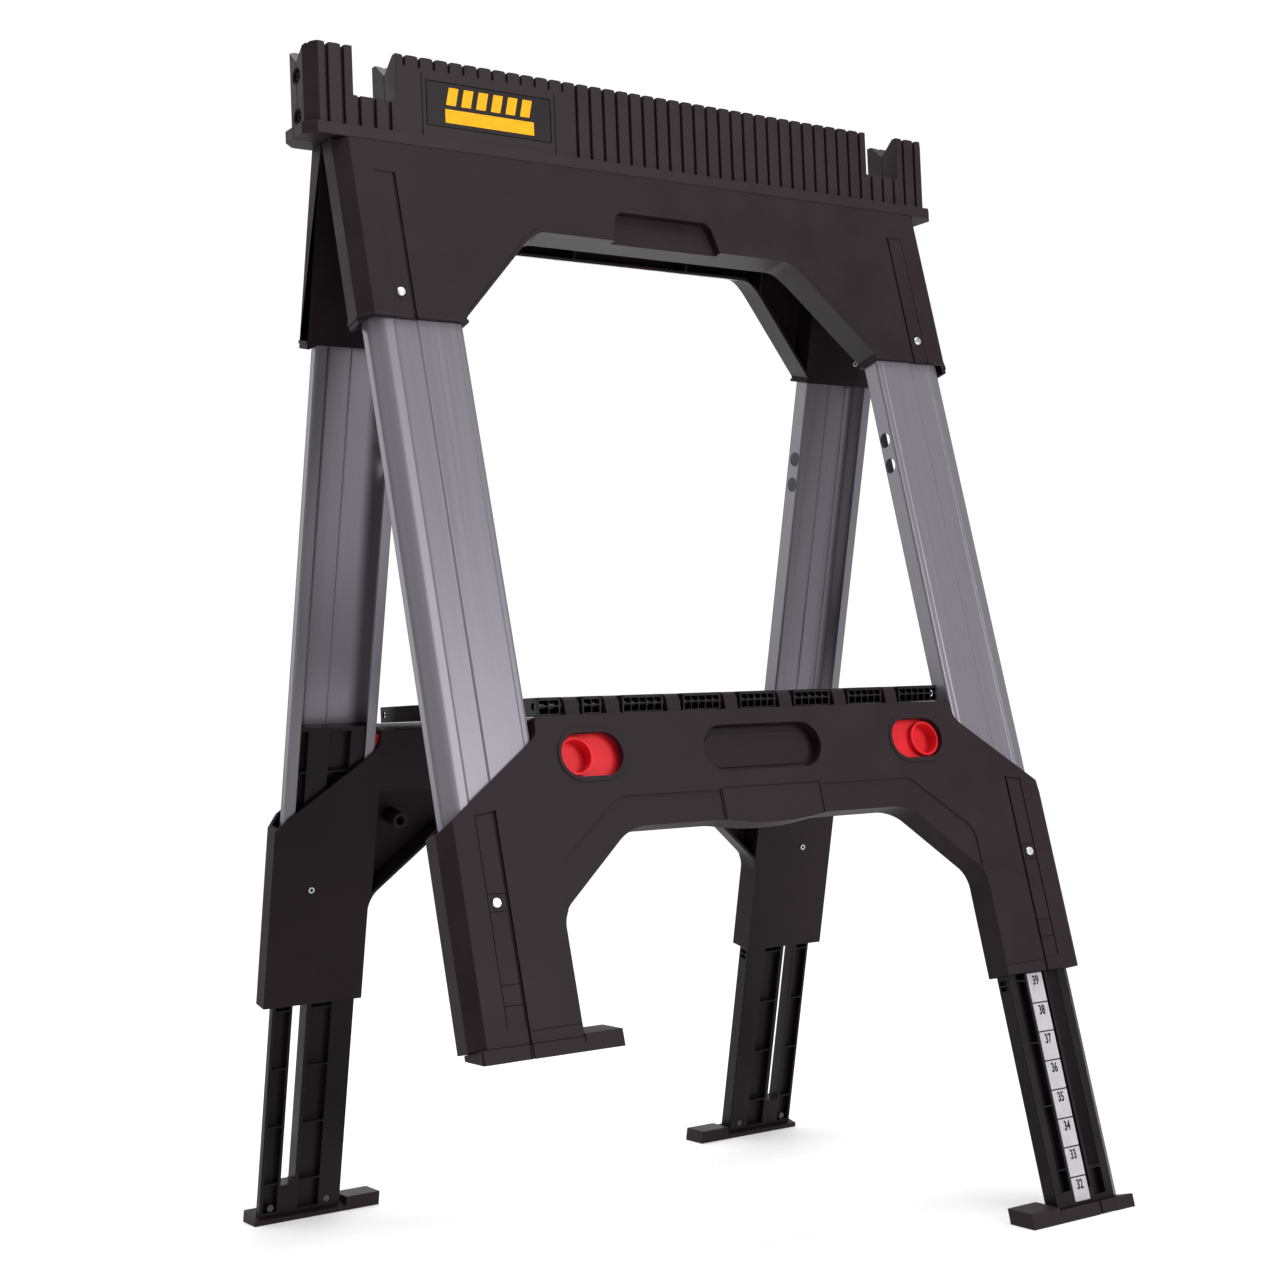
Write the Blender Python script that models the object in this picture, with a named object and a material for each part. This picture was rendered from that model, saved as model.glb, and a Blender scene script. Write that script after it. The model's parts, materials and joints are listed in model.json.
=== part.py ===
"""Folding sawhorse with adjustable metal legs and a folding tray.

X runs along the beam, -Y is the badge side, +Z is up, and the floor is Z = 0.
A frame is drawn flat, as (x, s, n): s is the distance down the leg from the hinge pin and n the distance
out from the hinge plane. It is then tilted about the pin. The rear frame is the front one turned round Z.
"""

import math

import bmesh
import bpy
from mathutils import Matrix

# Driving dimensions, in millimetres
TILT = math.radians(13.65)  # each frame from the vertical
HINGE_Z = 905.0
PIN_R = 3.0
BEAM_HALF, BEAM_TOP, LIP_Z, LIP_TOP = 335.0, 991.5, 915.0, 925.0
BEAM_Y, LIP_Y = 21.5, 25.5
RIB_PITCH, RIB_COUNT, GROOVE_W, GROOVE_D = 13.95, 46, 2.6, 1.8
SLOT_X0, SLOT_X1, SLOT_Z = 252.0, 291.0, 951.0
VEE_Y, VEE_Z = 15.5, 978.5
N_IN, N_OUT, WALL = 3.0, 28.6, 3.0  # depth of a frame, inner to outer face
EDGE_X, FACE_X, EDGE_N = 311.0, 300.0, 19.0  # outer flange and its chamfer
SLEEVE_X = 217.0
UP_BOTTOM, UP_ARCH, UP_ARCH_X = 153.5, 62.8, 134.0
LOW_TOP, LOW_BOTTOM, LOW_ARCH, LOW_ARCH_X = 483.1, 729.0, 574.5, 138.0
LEG_X0, LEG_X1, LEG_N0, LEG_N1, SHEET = 219.5, 302.0, 5.6, 25.3, 1.2
LEG_TOP, LEG_END = 30.0, 722.0
EXT_X0, EXT_X1, EXT_N0, EXT_N1 = 221.6, 299.9, 7.5, 22.3
EXT_TOP, EXT_END = 480.0, 927.2
TRAVEL = 198.2  # of an extension leg, all the way up
RIVET_X, RIVET_S = 273.5, (131.2, 624.0)
LATCH_X, LATCH_S = 168.5, 515.5
TRAY_Y, TRAY_Z, TRAY_T = 128.0, 449.5, 7.0
TRAY_X, TRAY_BODY, TRAY_TIP = 208.0, 84.0, 133.0
LUGS = (-177.0, -139.0, -79.5, -21.6, 35.4, 94.6, 152.7)
LUG_S, LUG_N = 472.8, 16.9

for old in list(bpy.data.objects):
    bpy.data.objects.remove(old, do_unlink=True)
SAWHORSE = bpy.data.collections.new("folding_sawhorse")
CUTTERS = bpy.data.collections.new("cutters")
for group in (SAWHORSE, CUTTERS):
    bpy.context.scene.collection.children.link(group)
CUTTERS.hide_render = True

TILTED = Matrix.Translation((0, 0, HINGE_Z / 1000)) @ Matrix.Rotation(-TILT, 4, "X")
TURNED = Matrix.Translation((0, 0, HINGE_Z / 1000)) @ Matrix.Rotation(math.pi, 4, "Z") @ Matrix.Rotation(-TILT, 4, "X")
SETTINGS = {
    "black_plastic": ((0.022, 0.020, 0.020), 0.55, 0.0),
    "leg_paint": ((0.20, 0.195, 0.205), 0.42, 0.35),
    "red_plastic": ((0.55, 0.010, 0.012), 0.35, 0.0),
    "zinc": ((0.70, 0.71, 0.72), 0.30, 1.0),
    "steel": ((0.55, 0.55, 0.56), 0.35, 1.0),
    "label": ((0.50, 0.48, 0.50), 0.50, 0.0),
    "badge": ((0.80, 0.42, 0.01), 0.40, 0.0),
}


def material(kind, name):
    colour, rough, metal = SETTINGS[kind]
    made = bpy.data.materials.new(name + "_" + kind)
    made.use_nodes = True
    shader = made.node_tree.nodes["Principled BSDF"]
    shader.inputs["Base Color"].default_value = (*colour, 1)
    shader.inputs["Roughness"].default_value = rough
    shader.inputs["Metallic"].default_value = metal
    made.diffuse_color = (*colour, 1)
    return made


def shape_of(bm):
    if bm.calc_volume(signed=True) < 0:
        bmesh.ops.reverse_faces(bm, faces=bm.faces)
    mesh = bpy.data.meshes.new("shape")
    bm.to_mesh(mesh)
    bm.free()
    return mesh


def smooth(obj):
    """Round pieces read as round, with their edges kept sharp."""
    obj.data.shade_smooth()
    obj.data.set_sharp_from_angle(angle=math.radians(40))
    return obj


def prism(poly, low, high, plane):
    """A flat outline pulled out from low to high. plane 'xy' rises along z, 'xz' along y, 'yz' along x."""
    curve = bpy.data.curves.new("outline", "CURVE")
    curve.dimensions, curve.fill_mode = "2D", "BOTH"
    curve.extrude = (high - low) / 2000
    line = curve.splines.new("POLY")
    line.points.add(len(poly) - 1)
    for point, (u, v) in zip(line.points, poly):
        point.co = (u / 1000, v / 1000, 0, 1)
    line.use_cyclic_u = True
    drawn = bpy.data.objects.new("outline", curve)
    mesh = bpy.data.meshes.new_from_object(drawn)
    bm = bmesh.new()
    bm.from_mesh(mesh)
    bpy.data.objects.remove(drawn)
    bpy.data.curves.remove(curve)
    bpy.data.meshes.remove(mesh)
    bmesh.ops.remove_doubles(bm, verts=bm.verts, dist=1e-6)
    middle = (high + low) / 2000
    bm.transform({
        "xy": Matrix.Translation((0, 0, middle)),
        "xz": Matrix(((1, 0, 0, 0), (0, 0, 1, middle), (0, 1, 0, 0), (0, 0, 0, 1))),
        "yz": Matrix(((0, 0, 1, middle), (1, 0, 0, 0), (0, 1, 0, 0), (0, 0, 0, 1))),
    }[plane])
    bmesh.ops.recalc_face_normals(bm, faces=bm.faces)
    return shape_of(bm)


def flat(poly, n0, n1):
    """An outline of a frame: poly in (x, s), from n0 to n1. Frame axes are (x, -n, -s)."""
    return prism([(x, -s) for x, s in poly], -n1, -n0, "xz")


def along(poly, s0, s1):
    """poly in (x, n), drawn down the leg from s0 to s1."""
    return prism([(x, -n) for x, n in poly], -s1, -s0, "xy")


def across(poly, x0, x1):
    """poly in (s, n), drawn along x."""
    return prism([(-n, -s) for s, n in poly], x0, x1, "yz")


def box(x0, x1, y0, y1, z0, z1):
    bm = bmesh.new()
    sides = Matrix.Diagonal(((x1 - x0) / 1000, (y1 - y0) / 1000, (z1 - z0) / 1000, 1))
    middle = Matrix.Translation(((x0 + x1) / 2000, (y0 + y1) / 2000, (z0 + z1) / 2000))
    bmesh.ops.create_cube(bm, size=1.0, matrix=middle @ sides)
    return shape_of(bm)


def fbox(x0, x1, s0, s1, n0, n1):
    return box(min(x0, x1), max(x0, x1), -n1, -n0, -s1, -s0)


def rod(axis, cx, cy, r, low, high, count=16):
    """A round bar along x or y; cx and cy are the other two coordinates in order."""
    bm = bmesh.new()
    turn = Matrix.Rotation(math.pi / 2, 4, "Y") if axis == "x" else Matrix.Rotation(math.pi / 2, 4, "X")
    middle = (low + high) / 2000
    at = (middle, cx / 1000, cy / 1000) if axis == "x" else (cx / 1000, middle, cy / 1000)
    bmesh.ops.create_cone(bm, cap_ends=True, segments=count, radius1=r / 1000, radius2=r / 1000,
                          depth=(high - low) / 1000, matrix=Matrix.Translation(at) @ turn)
    return shape_of(bm)


def oval(cx, cs, half_w, half_h, count=6):
    """A slot shape with round ends."""
    r, d = half_h, half_w - half_h
    right = [(cx + d + r * math.cos(t), cs + r * math.sin(t)) for t in
             [math.pi * (i / count - 0.5) for i in range(count + 1)]]
    return right + [(2 * cx - x, 2 * cs - s) for x, s in right]


def join(*shapes):
    """Shapes that don't touch, as one."""
    bm = bmesh.new()
    for shape in shapes:
        bm.from_mesh(shape)
        bpy.data.meshes.remove(shape)
    return shape_of(bm)


def flip(shape, on):
    """The same shape with x turned round, for the piece on the other side."""
    if not on:
        return shape
    bm = bmesh.new()
    bm.from_mesh(shape)
    bpy.data.meshes.remove(shape)
    bm.transform(Matrix.Diagonal((-1, 1, 1, 1)))
    bmesh.ops.reverse_faces(bm, faces=bm.faces)
    return shape_of(bm)


def mesh_object(name, shape, matrix=None, kind=None):
    shape.name = name
    obj = bpy.data.objects.new(name, shape)
    (SAWHORSE if kind else CUTTERS).objects.link(obj)
    if kind:
        shape.materials.append(material(kind, name))
    else:
        obj.hide_render = True
        obj.display_type = "WIRE"
    if matrix is not None:
        obj.matrix_world = matrix
    return obj


def cut(obj, shape, operation="DIFFERENCE"):
    tool = mesh_object(f"{obj.name}_{operation.lower()}_{len(obj.modifiers)}", shape, matrix=obj.matrix_basis.copy())
    change = obj.modifiers.new(operation.lower(), "BOOLEAN")
    change.operation, change.solver, change.object = operation, "EXACT", tool
    change.use_self = operation == "UNION"


# ---------------------------------------------------------------- beam
def beam_outline(y_in, y_out, lip):
    side, end = (LIP_Y if lip else BEAM_Y), (BEAM_HALF if lip else BEAM_HALF - 4)
    cut_x, cut_y = 9.5, 9.5
    return [(-end, y_in), (-end, y_out * (side - cut_y)), (-end + cut_x, y_out * side),
            (end - cut_x, y_out * side), (end, y_out * (side - cut_y)), (end, y_in)]


def groove_xs():
    return [(k - (RIB_COUNT - 1) / 2) * RIB_PITCH for k in range(RIB_COUNT)]


def ribbed_outline(sign, grooves):
    end = BEAM_HALF - 4
    pts = [(-end, sign * 0.15), (-end, sign * (BEAM_Y - 9.5)), (-end + 9.5, sign * BEAM_Y)]
    for x in grooves:
        h = GROOVE_W / 2
        pts += [(x - h, sign * BEAM_Y), (x, sign * (BEAM_Y - GROOVE_D)), (x + h, sign * BEAM_Y)]
    return pts + [(end - 9.5, sign * BEAM_Y), (end, sign * (BEAM_Y - 9.5)), (end, sign * 0.15)]


def beam_shell(name, sign):
    xs = groove_xs()
    plain = xs[5:17] if sign < 0 else []
    grooved = [x for x in xs if x not in plain]
    obj = mesh_object(name, prism(ribbed_outline(sign, grooved), LIP_TOP + 3, BEAM_TOP, "xy"), kind="black_plastic")
    lower = prism(beam_outline(sign * 0.15, sign, False), LIP_Z + 3, LIP_TOP + 4, "xy")
    cut(obj, lower, "UNION")
    cut(obj, prism(beam_outline(sign * 0.15, sign, True), LIP_Z, LIP_TOP, "xy"), "UNION")
    # hinge lugs under the beam, one of each pair on each half
    lugs = []
    for centre in (-200.0, -90.0, 90.0, 200.0):
        x0 = centre + (-13.0 if sign < 0 else 7.0)
        arc = [(8 * math.cos(t), HINGE_Z + 8 * math.sin(t)) for t in [math.pi + math.pi * i / 8 for i in range(9)]]
        lugs.append(prism(arc + [(8, LIP_Z + 1.5), (sign * 0.15, LIP_Z + 1.5), (sign * 0.15, LIP_Z - 0.3),
                                 (-sign * 8, LIP_Z - 0.3)] if sign > 0 else
                          arc + [(8, LIP_Z - 0.3), (-0.15, LIP_Z - 0.3), (-0.15, LIP_Z + 1.5), (-8, LIP_Z + 1.5)],
                          x0, x0 + 6, "yz"))
    cut(obj, join(*lugs), "UNION")
    # V groove, timber slots and hollows
    vee = [(-VEE_Y, BEAM_TOP + 2), (-VEE_Y, BEAM_TOP), (0, VEE_Z), (VEE_Y, BEAM_TOP), (VEE_Y, BEAM_TOP + 2)]
    cut(obj, prism(vee, -400, 400, "yz"))
    cut(obj, join(box(SLOT_X0, SLOT_X1, -40, 40, SLOT_Z, 1100), box(-SLOT_X1, -SLOT_X0, -40, 40, SLOT_Z, 1100)))
    cells = []
    y0, y1 = sorted((-sign * 2.0, sign * (BEAM_Y - 4.5)))
    for k in range(6):
        cells.append(box(-248.5 + k * 83.0, -248.5 + k * 83.0 + 80.5, y0, y1, LIP_Z + 3.5, VEE_Z - 3.2))
    for x0, x1, top in ((251.5, 294.5, SLOT_Z - 3.2), (297.0, 320.0, VEE_Z - 3.2)):
        cells += [box(x0, x1, y0, y1, LIP_Z + 3.5, top), box(-x1, -x0, y0, y1, LIP_Z + 3.5, top)]
    cut(obj, join(*cells))
    bores = [rod("x", 0, HINGE_Z, PIN_R + 0.25, -220, 220)]
    for side in (-1, 1):
        x0, x1 = sorted((side * 322.0, side * 340.0))
        h0, h1 = sorted((side * 327.5, side * 340.0))
        for z in (966.5, 933.0):
            bores += [rod("x", 0, z, 1.9, x0, x1, 10), rod("x", 0, z, 3.9, h0, h1, 14)]
    cut(obj, bores[0])
    for bore in bores[1:]:
        cut(obj, bore)
    if sign < 0:
        notches = [box(x - 1.2, x + 1.2, -BEAM_Y - 1, -BEAM_Y + 2.0, BEAM_TOP - 6, BEAM_TOP + 1) for x in plain]
        cut(obj, join(*notches))
        cut(obj, box(-224.5, -103.5, -BEAM_Y - 1, -BEAM_Y + 1.4, 935.5, 973.5))
    return obj


beam_shell("beam_front_shell", -1)
beam_shell("beam_rear_shell", 1)
badge = mesh_object("badge_plate", box(-224.2, -103.8, -BEAM_Y - 0.1, -BEAM_Y + 1.1, 935.8, 973.2), kind="badge")
for side, letter in ((-1, "left"), (1, "right")):
    for z, level in ((966.5, "top"), (933.0, "low")):
        x0, x1 = sorted((side * 327.9, side * 330.2))
        screw = smooth(mesh_object(f"beam_screw_{letter}_{level}", rod("x", 0, z, 3.5, x0, x1, 12), kind="steel"))
        s0, s1 = sorted((side * 322.5, side * 328.5))
        cut(screw, rod("x", 0, z, 1.5, s0, s1, 8), "UNION")
smooth(mesh_object("hinge_pin", rod("x", 0, HINGE_Z, PIN_R, -216, 216, 16), kind="steel"))


# ---------------------------------------------------------------- upper brackets
def section(x_edge, x_face, n_low, n_edge, n_top):
    return [(-x_edge, n_low), (-x_edge, n_edge), (-x_face, n_top), (x_face, n_top), (x_edge, n_edge), (x_edge, n_low)]


def leg_space(s0, s1, side):
    """The room inside a sleeve for its leg."""
    poly = [(219.2, 5.3), (219.2, 25.6), (298.8, 25.6), (308.0, 17.6), (308.0, 5.3)]
    return along([(side * x, n) for x, n in poly], s0, s1)


def arm(x0):
    """A hinge arm: a round eye on the pin, and a web out to the face."""
    poly = [(-1.0, 26.5), (-1.0, 8.0)] + [(8 * math.cos(t), 8 * math.sin(t)) for t in
            [math.radians(97.2 + 16.45 * i) for i in range(16)]] + [(14.0, 6.0), (14.0, 26.5)]
    return across(poly, x0, x0 + 6)


def upper_bracket(name, matrix):
    outline = [(-EDGE_X, -1), (EDGE_X, -1), (EDGE_X, UP_BOTTOM + 5), (FACE_X + 2, UP_BOTTOM), (SLEEVE_X, UP_BOTTOM),
               (SLEEVE_X, 149.0), (146.0, 73.0), (139.0, 66.0), (130.0, UP_ARCH),
               (-130.0, UP_ARCH), (-139.0, 66.0), (-146.0, 73.0), (-SLEEVE_X, 149.0),
               (-SLEEVE_X, UP_BOTTOM), (-FACE_X - 2, UP_BOTTOM), (-EDGE_X, UP_BOTTOM + 5)]
    wide = [(x + (2 if x > 310 else -2 if x < -310 else 0), s) for x, s in outline]
    obj = mesh_object(name, flat(wide, N_IN, N_OUT + 2), matrix=matrix, kind="black_plastic")
    cut(obj, along(section(EDGE_X, FACE_X, 0, EDGE_N, N_OUT), -10, 200), "INTERSECT")
    cut(obj, join(leg_space(-20, 200, 1), leg_space(-20, 200, -1)))
    # hollow cells of the middle, leaving ribs and the arch flange
    lift = 2.6
    slope = (149.0 - 73.0) / (SLEEVE_X - 146.0)

    def edge(x):
        x = abs(x)
        if x <= 130:
            return UP_ARCH - lift
        if x <= 146:
            return UP_ARCH - lift + (x - 130) * (73.0 - UP_ARCH) / 16.0 - 1.0
        return 73.0 + (x - 146) * slope - lift * math.sqrt(1 + slope * slope)

    cells = []
    for x0, x1 in ((-214.4, -150.0), (-147.6, -62.0), (62.0, 147.6), (150.0, 214.4)):
        marks = sorted({x0, x1} | {m for m in (-146, -130, 130, 146) if x0 < m < x1})
        cells.append(flat([(x0, -5), (x1, -5)] + [(x, edge(x)) for x in reversed(marks)], 0, N_OUT - WALL))
    cells.append(flat([(-59.6, -5), (59.6, -5), (59.6, 27), (-59.6, 27)], 0, N_OUT - WALL))
    cells.append(flat([(-59.6, 29.4), (59.6, 29.4), (59.6, UP_ARCH - lift), (-59.6, UP_ARCH - lift)], 0, 18.0))
    cut(obj, join(*cells))
    cut(obj, fbox(-400, 400, -20, 12, -20, 14))
    # hinge arms
    cut(obj, join(*[arm(centre - 6.6) for centre in (-200.0, -90.0, 90.0, 200.0)]), "UNION")
    cut(obj, rod("x", 0, 0, PIN_R + 0.25, -300, 300))
    # finger recess, recess strips, rivet holes
    recess = [(-46, 34.5), (46, 34.5), (50, 38), (58, UP_ARCH + 4), (-58, UP_ARCH + 4), (-50, 38)]
    cut(obj, flat(recess, N_OUT - 8.0, N_OUT + 5))
    strips = []
    for side in (-1, 1):
        strips.append(flat([(side * 264.6, 24.5), (side * 280.7, 24.5), (side * 280.7, 170), (side * 264.6, 170)],
                           N_OUT - 0.7, N_OUT + 2))
        strips.append(flat([(side * 262.4, 24.5), (side * 264.4, 24.5), (side * 264.4, 170), (side * 262.4, 170)],
                           N_OUT - 1.7, N_OUT + 2))
    cut(obj, join(*strips))
    cut(obj, join(*[rod("y", side * RIVET_X, -RIVET_S[0], 2.8, -40, 10, 12) for side in (-1, 1)]))
    return obj


upper_bracket("bracket_upper_front", TILTED)
upper_bracket("bracket_upper_rear", TURNED)


# ---------------------------------------------------------------- lower brackets
def lower_bracket(name, matrix):
    half = [(215.5, LOW_TOP), (216.5, 497.0), (221.5, 503.0), (FACE_X - 1, 559.5), (303.5, 565.5), (EDGE_X, 569.5),
            (EDGE_X, LOW_BOTTOM), (SLEEVE_X, LOW_BOTTOM), (SLEEVE_X, 643.0),
            (214.0, 634.5), (150.0, 580.0), (141.0, 575.5), (132.0, LOW_ARCH), (52.0, LOW_ARCH), (36.0, 577.0),
            (14.0, 579.4)]
    outline = half + [(-x, s) for x, s in reversed(half)]
    wide = [(x + (2 if x > 310 else -2 if x < -310 else 0), s) for x, s in outline]
    obj = mesh_object(name, flat(wide, N_IN, N_OUT + 2), matrix=matrix, kind="black_plastic")
    cut(obj, along(section(EDGE_X, FACE_X, 0, EDGE_N, N_OUT), 400, 800), "INTERSECT")
    cut(obj, join(leg_space(400, 800, 1), leg_space(400, 800, -1)))
    # bosses and recess walls are left standing: cells of the hollow crossbar
    w = N_OUT - WALL
    slope = (634.5 - 580.0) / 64.0

    def low_edge(x):
        x = abs(x)
        if x <= 132:
            return LOW_ARCH - 2.6
        if x <= 150:
            return LOW_ARCH - 2.6 + (x - 132) * (580.0 - LOW_ARCH) / 18.0 - 0.8
        return 580.0 + (x - 150) * slope - 2.6 * math.sqrt(1 + slope * slope)

    cells = []
    for side in (-1, 1):
        # latch bay, closed by a wall on the inner side, and the corner bays under it
        cells.append(flat([(side * 106, LOW_TOP + 2.6), (side * 213, LOW_TOP + 2.6), (side * 214.2, 492), (side * 214.2, 536.6),
                           (side * 106, 536.6)], N_IN + 2.4, w))
        bay = [(106, 539), (214.2, 539), (214.2, low_edge(214.2)), (152, low_edge(152)), (150, low_edge(150)),
               (132, low_edge(132)), (106, low_edge(106))]
        cells.append(flat([(side * x, s) for x, s in bay], 0, w))
        cells.append(flat([(side * 68, LOW_TOP + 2.6), (side * 103.4, LOW_TOP + 2.6), (side * 103.4, LOW_ARCH - 2.6),
                           (side * 68, LOW_ARCH - 2.6)], 0, w))
    cells.append(flat([(-65.4, LOW_TOP + 2.6), (65.4, LOW_TOP + 2.6), (65.4, 492), (-65.4, 492)], 0, w))
    cells.append(flat([(-65.4, 494.5), (65.4, 494.5), (65.4, 537), (-65.4, 537)], 0, 14.5))
    cells.append(flat([(-65.4, 539.5), (65.4, 539.5), (65.4, LOW_ARCH - 2.6), (-65.4, LOW_ARCH - 2.6)], 0, w))
    cut(obj, join(*cells))
    # window rims, peg bosses, tray lugs
    cut(obj, join(*[flat(oval(side * LATCH_X, LATCH_S, 32, 22, 6), w - 0.5, N_OUT + 0.8) for side in (-1, 1)]), "UNION")
    cut(obj, join(*[rod("y", side * 191, -567.0, 7.0, -w - 0.5, -N_IN, 14) for side in (-1, 1)]), "UNION")
    eye = [(LUG_S + 7 * math.cos(t), LUG_N + 7 * math.sin(t)) for t in
           [math.radians(90 + 30 * i) for i in range(7)]]
    lug = eye + [(LOW_TOP + 1.5, LUG_N - 7), (LOW_TOP + 1.5, LUG_N + 7)]
    cut(obj, join(*[across(lug, x - 6.5, x + 6.5) for x in LUGS]), "UNION")
    cut(obj, join(*[rod("x", -LUG_N, -LUG_S, 2.8, x - 8, x + 8, 10) for x in LUGS]))
    # openings
    cut(obj, join(*[flat(oval(side * LATCH_X, LATCH_S, 28.5, 17.5, 6), 20, 40) for side in (-1, 1)]))
    cut(obj, flat(oval(0, 515.6, 60.5, 19.2, 6), 17.0, 40))
    cut(obj, join(*[rod("y", side * 191, -567.0, 4.0, -24.0, 10, 12) for side in (-1, 1)]))
    cut(obj, join(*[fbox(side * 186, side * 226, 488, 528, 8.4, 16.6) for side in (-1, 1)]))
    strips = []
    for side in (-1, 1):
        strips.append(flat([(side * 264.6, 554.5), (side * 280.7, 557.5), (side * 280.7, 800), (side * 264.6, 800)],
                           N_OUT - 0.7, N_OUT + 2))
        strips.append(flat([(side * 262.4, 554.5), (side * 264.4, 554.5), (side * 264.4, 800), (side * 262.4, 800)],
                           N_OUT - 1.7, N_OUT + 2))
    cut(obj, join(*strips))
    cut(obj, join(*[rod("y", side * RIVET_X, -RIVET_S[1], 2.8, -40, 10, 12) for side in (-1, 1)]))
    return obj


lower_bracket("bracket_lower_front", TILTED)
lower_bracket("bracket_lower_rear", TURNED)


# ---------------------------------------------------------------- legs
def leg_profile():
    """The folded sheet of a leg, as (x, n), outside then inside."""
    t = SHEET
    outside = [(LEG_X0 + 10, LEG_N0), (LEG_X0, LEG_N0), (LEG_X0, LEG_N1 - 2.5), (LEG_X0 + 2.5, LEG_N1),
               (260.5, LEG_N1), (261.7, LEG_N1 - 1.1), (281.5, LEG_N1 - 1.1), (282.7, LEG_N1),
               (292.0, LEG_N1), (LEG_X1, 16.5), (LEG_X1, LEG_N0), (LEG_X1 - 10, LEG_N0)]
    inside = [(LEG_X1 - 10, LEG_N0 + t), (LEG_X1 - t, LEG_N0 + t), (LEG_X1 - t, 15.95), (291.5, LEG_N1 - t),
              (283.1, LEG_N1 - t), (281.9, LEG_N1 - 1.1 - t), (261.3, LEG_N1 - 1.1 - t), (260.1, LEG_N1 - t),
              (LEG_X0 + 3.0, LEG_N1 - t), (LEG_X0 + t, LEG_N1 - 3.0), (LEG_X0 + t, LEG_N0 + t),
              (LEG_X0 + 10, LEG_N0 + t)]
    return outside + inside


def extension_profile():
    return [(EXT_X0, EXT_N0), (EXT_X0, EXT_N1), (289.6, EXT_N1), (EXT_X1, 15.0), (EXT_X1, EXT_N0)]


def latch_shape():
    """Plate, finger cup and tongue, on the side where x is positive."""
    plate = flat([(136, 496.5), (213.6, 496.5), (213.6, 534.5), (136, 534.5)], 17.0, 20.0)
    return plate


def coil_mesh(side, x0, x1, r, turns, steps=9):
    """A coil spring along x behind a latch."""
    curve = bpy.data.curves.new("coil", "CURVE")
    curve.dimensions, curve.bevel_depth, curve.bevel_resolution = "3D", 0.0008, 0
    curve.use_fill_caps = True
    line = curve.splines.new("POLY")
    line.points.add(turns * steps)
    for i, point in enumerate(line.points):
        t = 2 * math.pi * i / steps
        x = x0 + (x1 - x0) * i / (turns * steps)
        point.co = (side * x / 1000, (-12.5 + r * math.cos(t)) / 1000, (-LATCH_S + r * math.sin(t)) / 1000, 1)
    drawn = bpy.data.objects.new("coil", curve)
    mesh = bpy.data.meshes.new_from_object(drawn)
    bm = bmesh.new()
    bm.from_mesh(mesh)
    bpy.data.objects.remove(drawn)
    bmesh.ops.remove_doubles(bm, verts=bm.verts, dist=1e-6)
    bmesh.ops.recalc_face_normals(bm, faces=bm.faces)
    return shape_of(bm)


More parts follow.
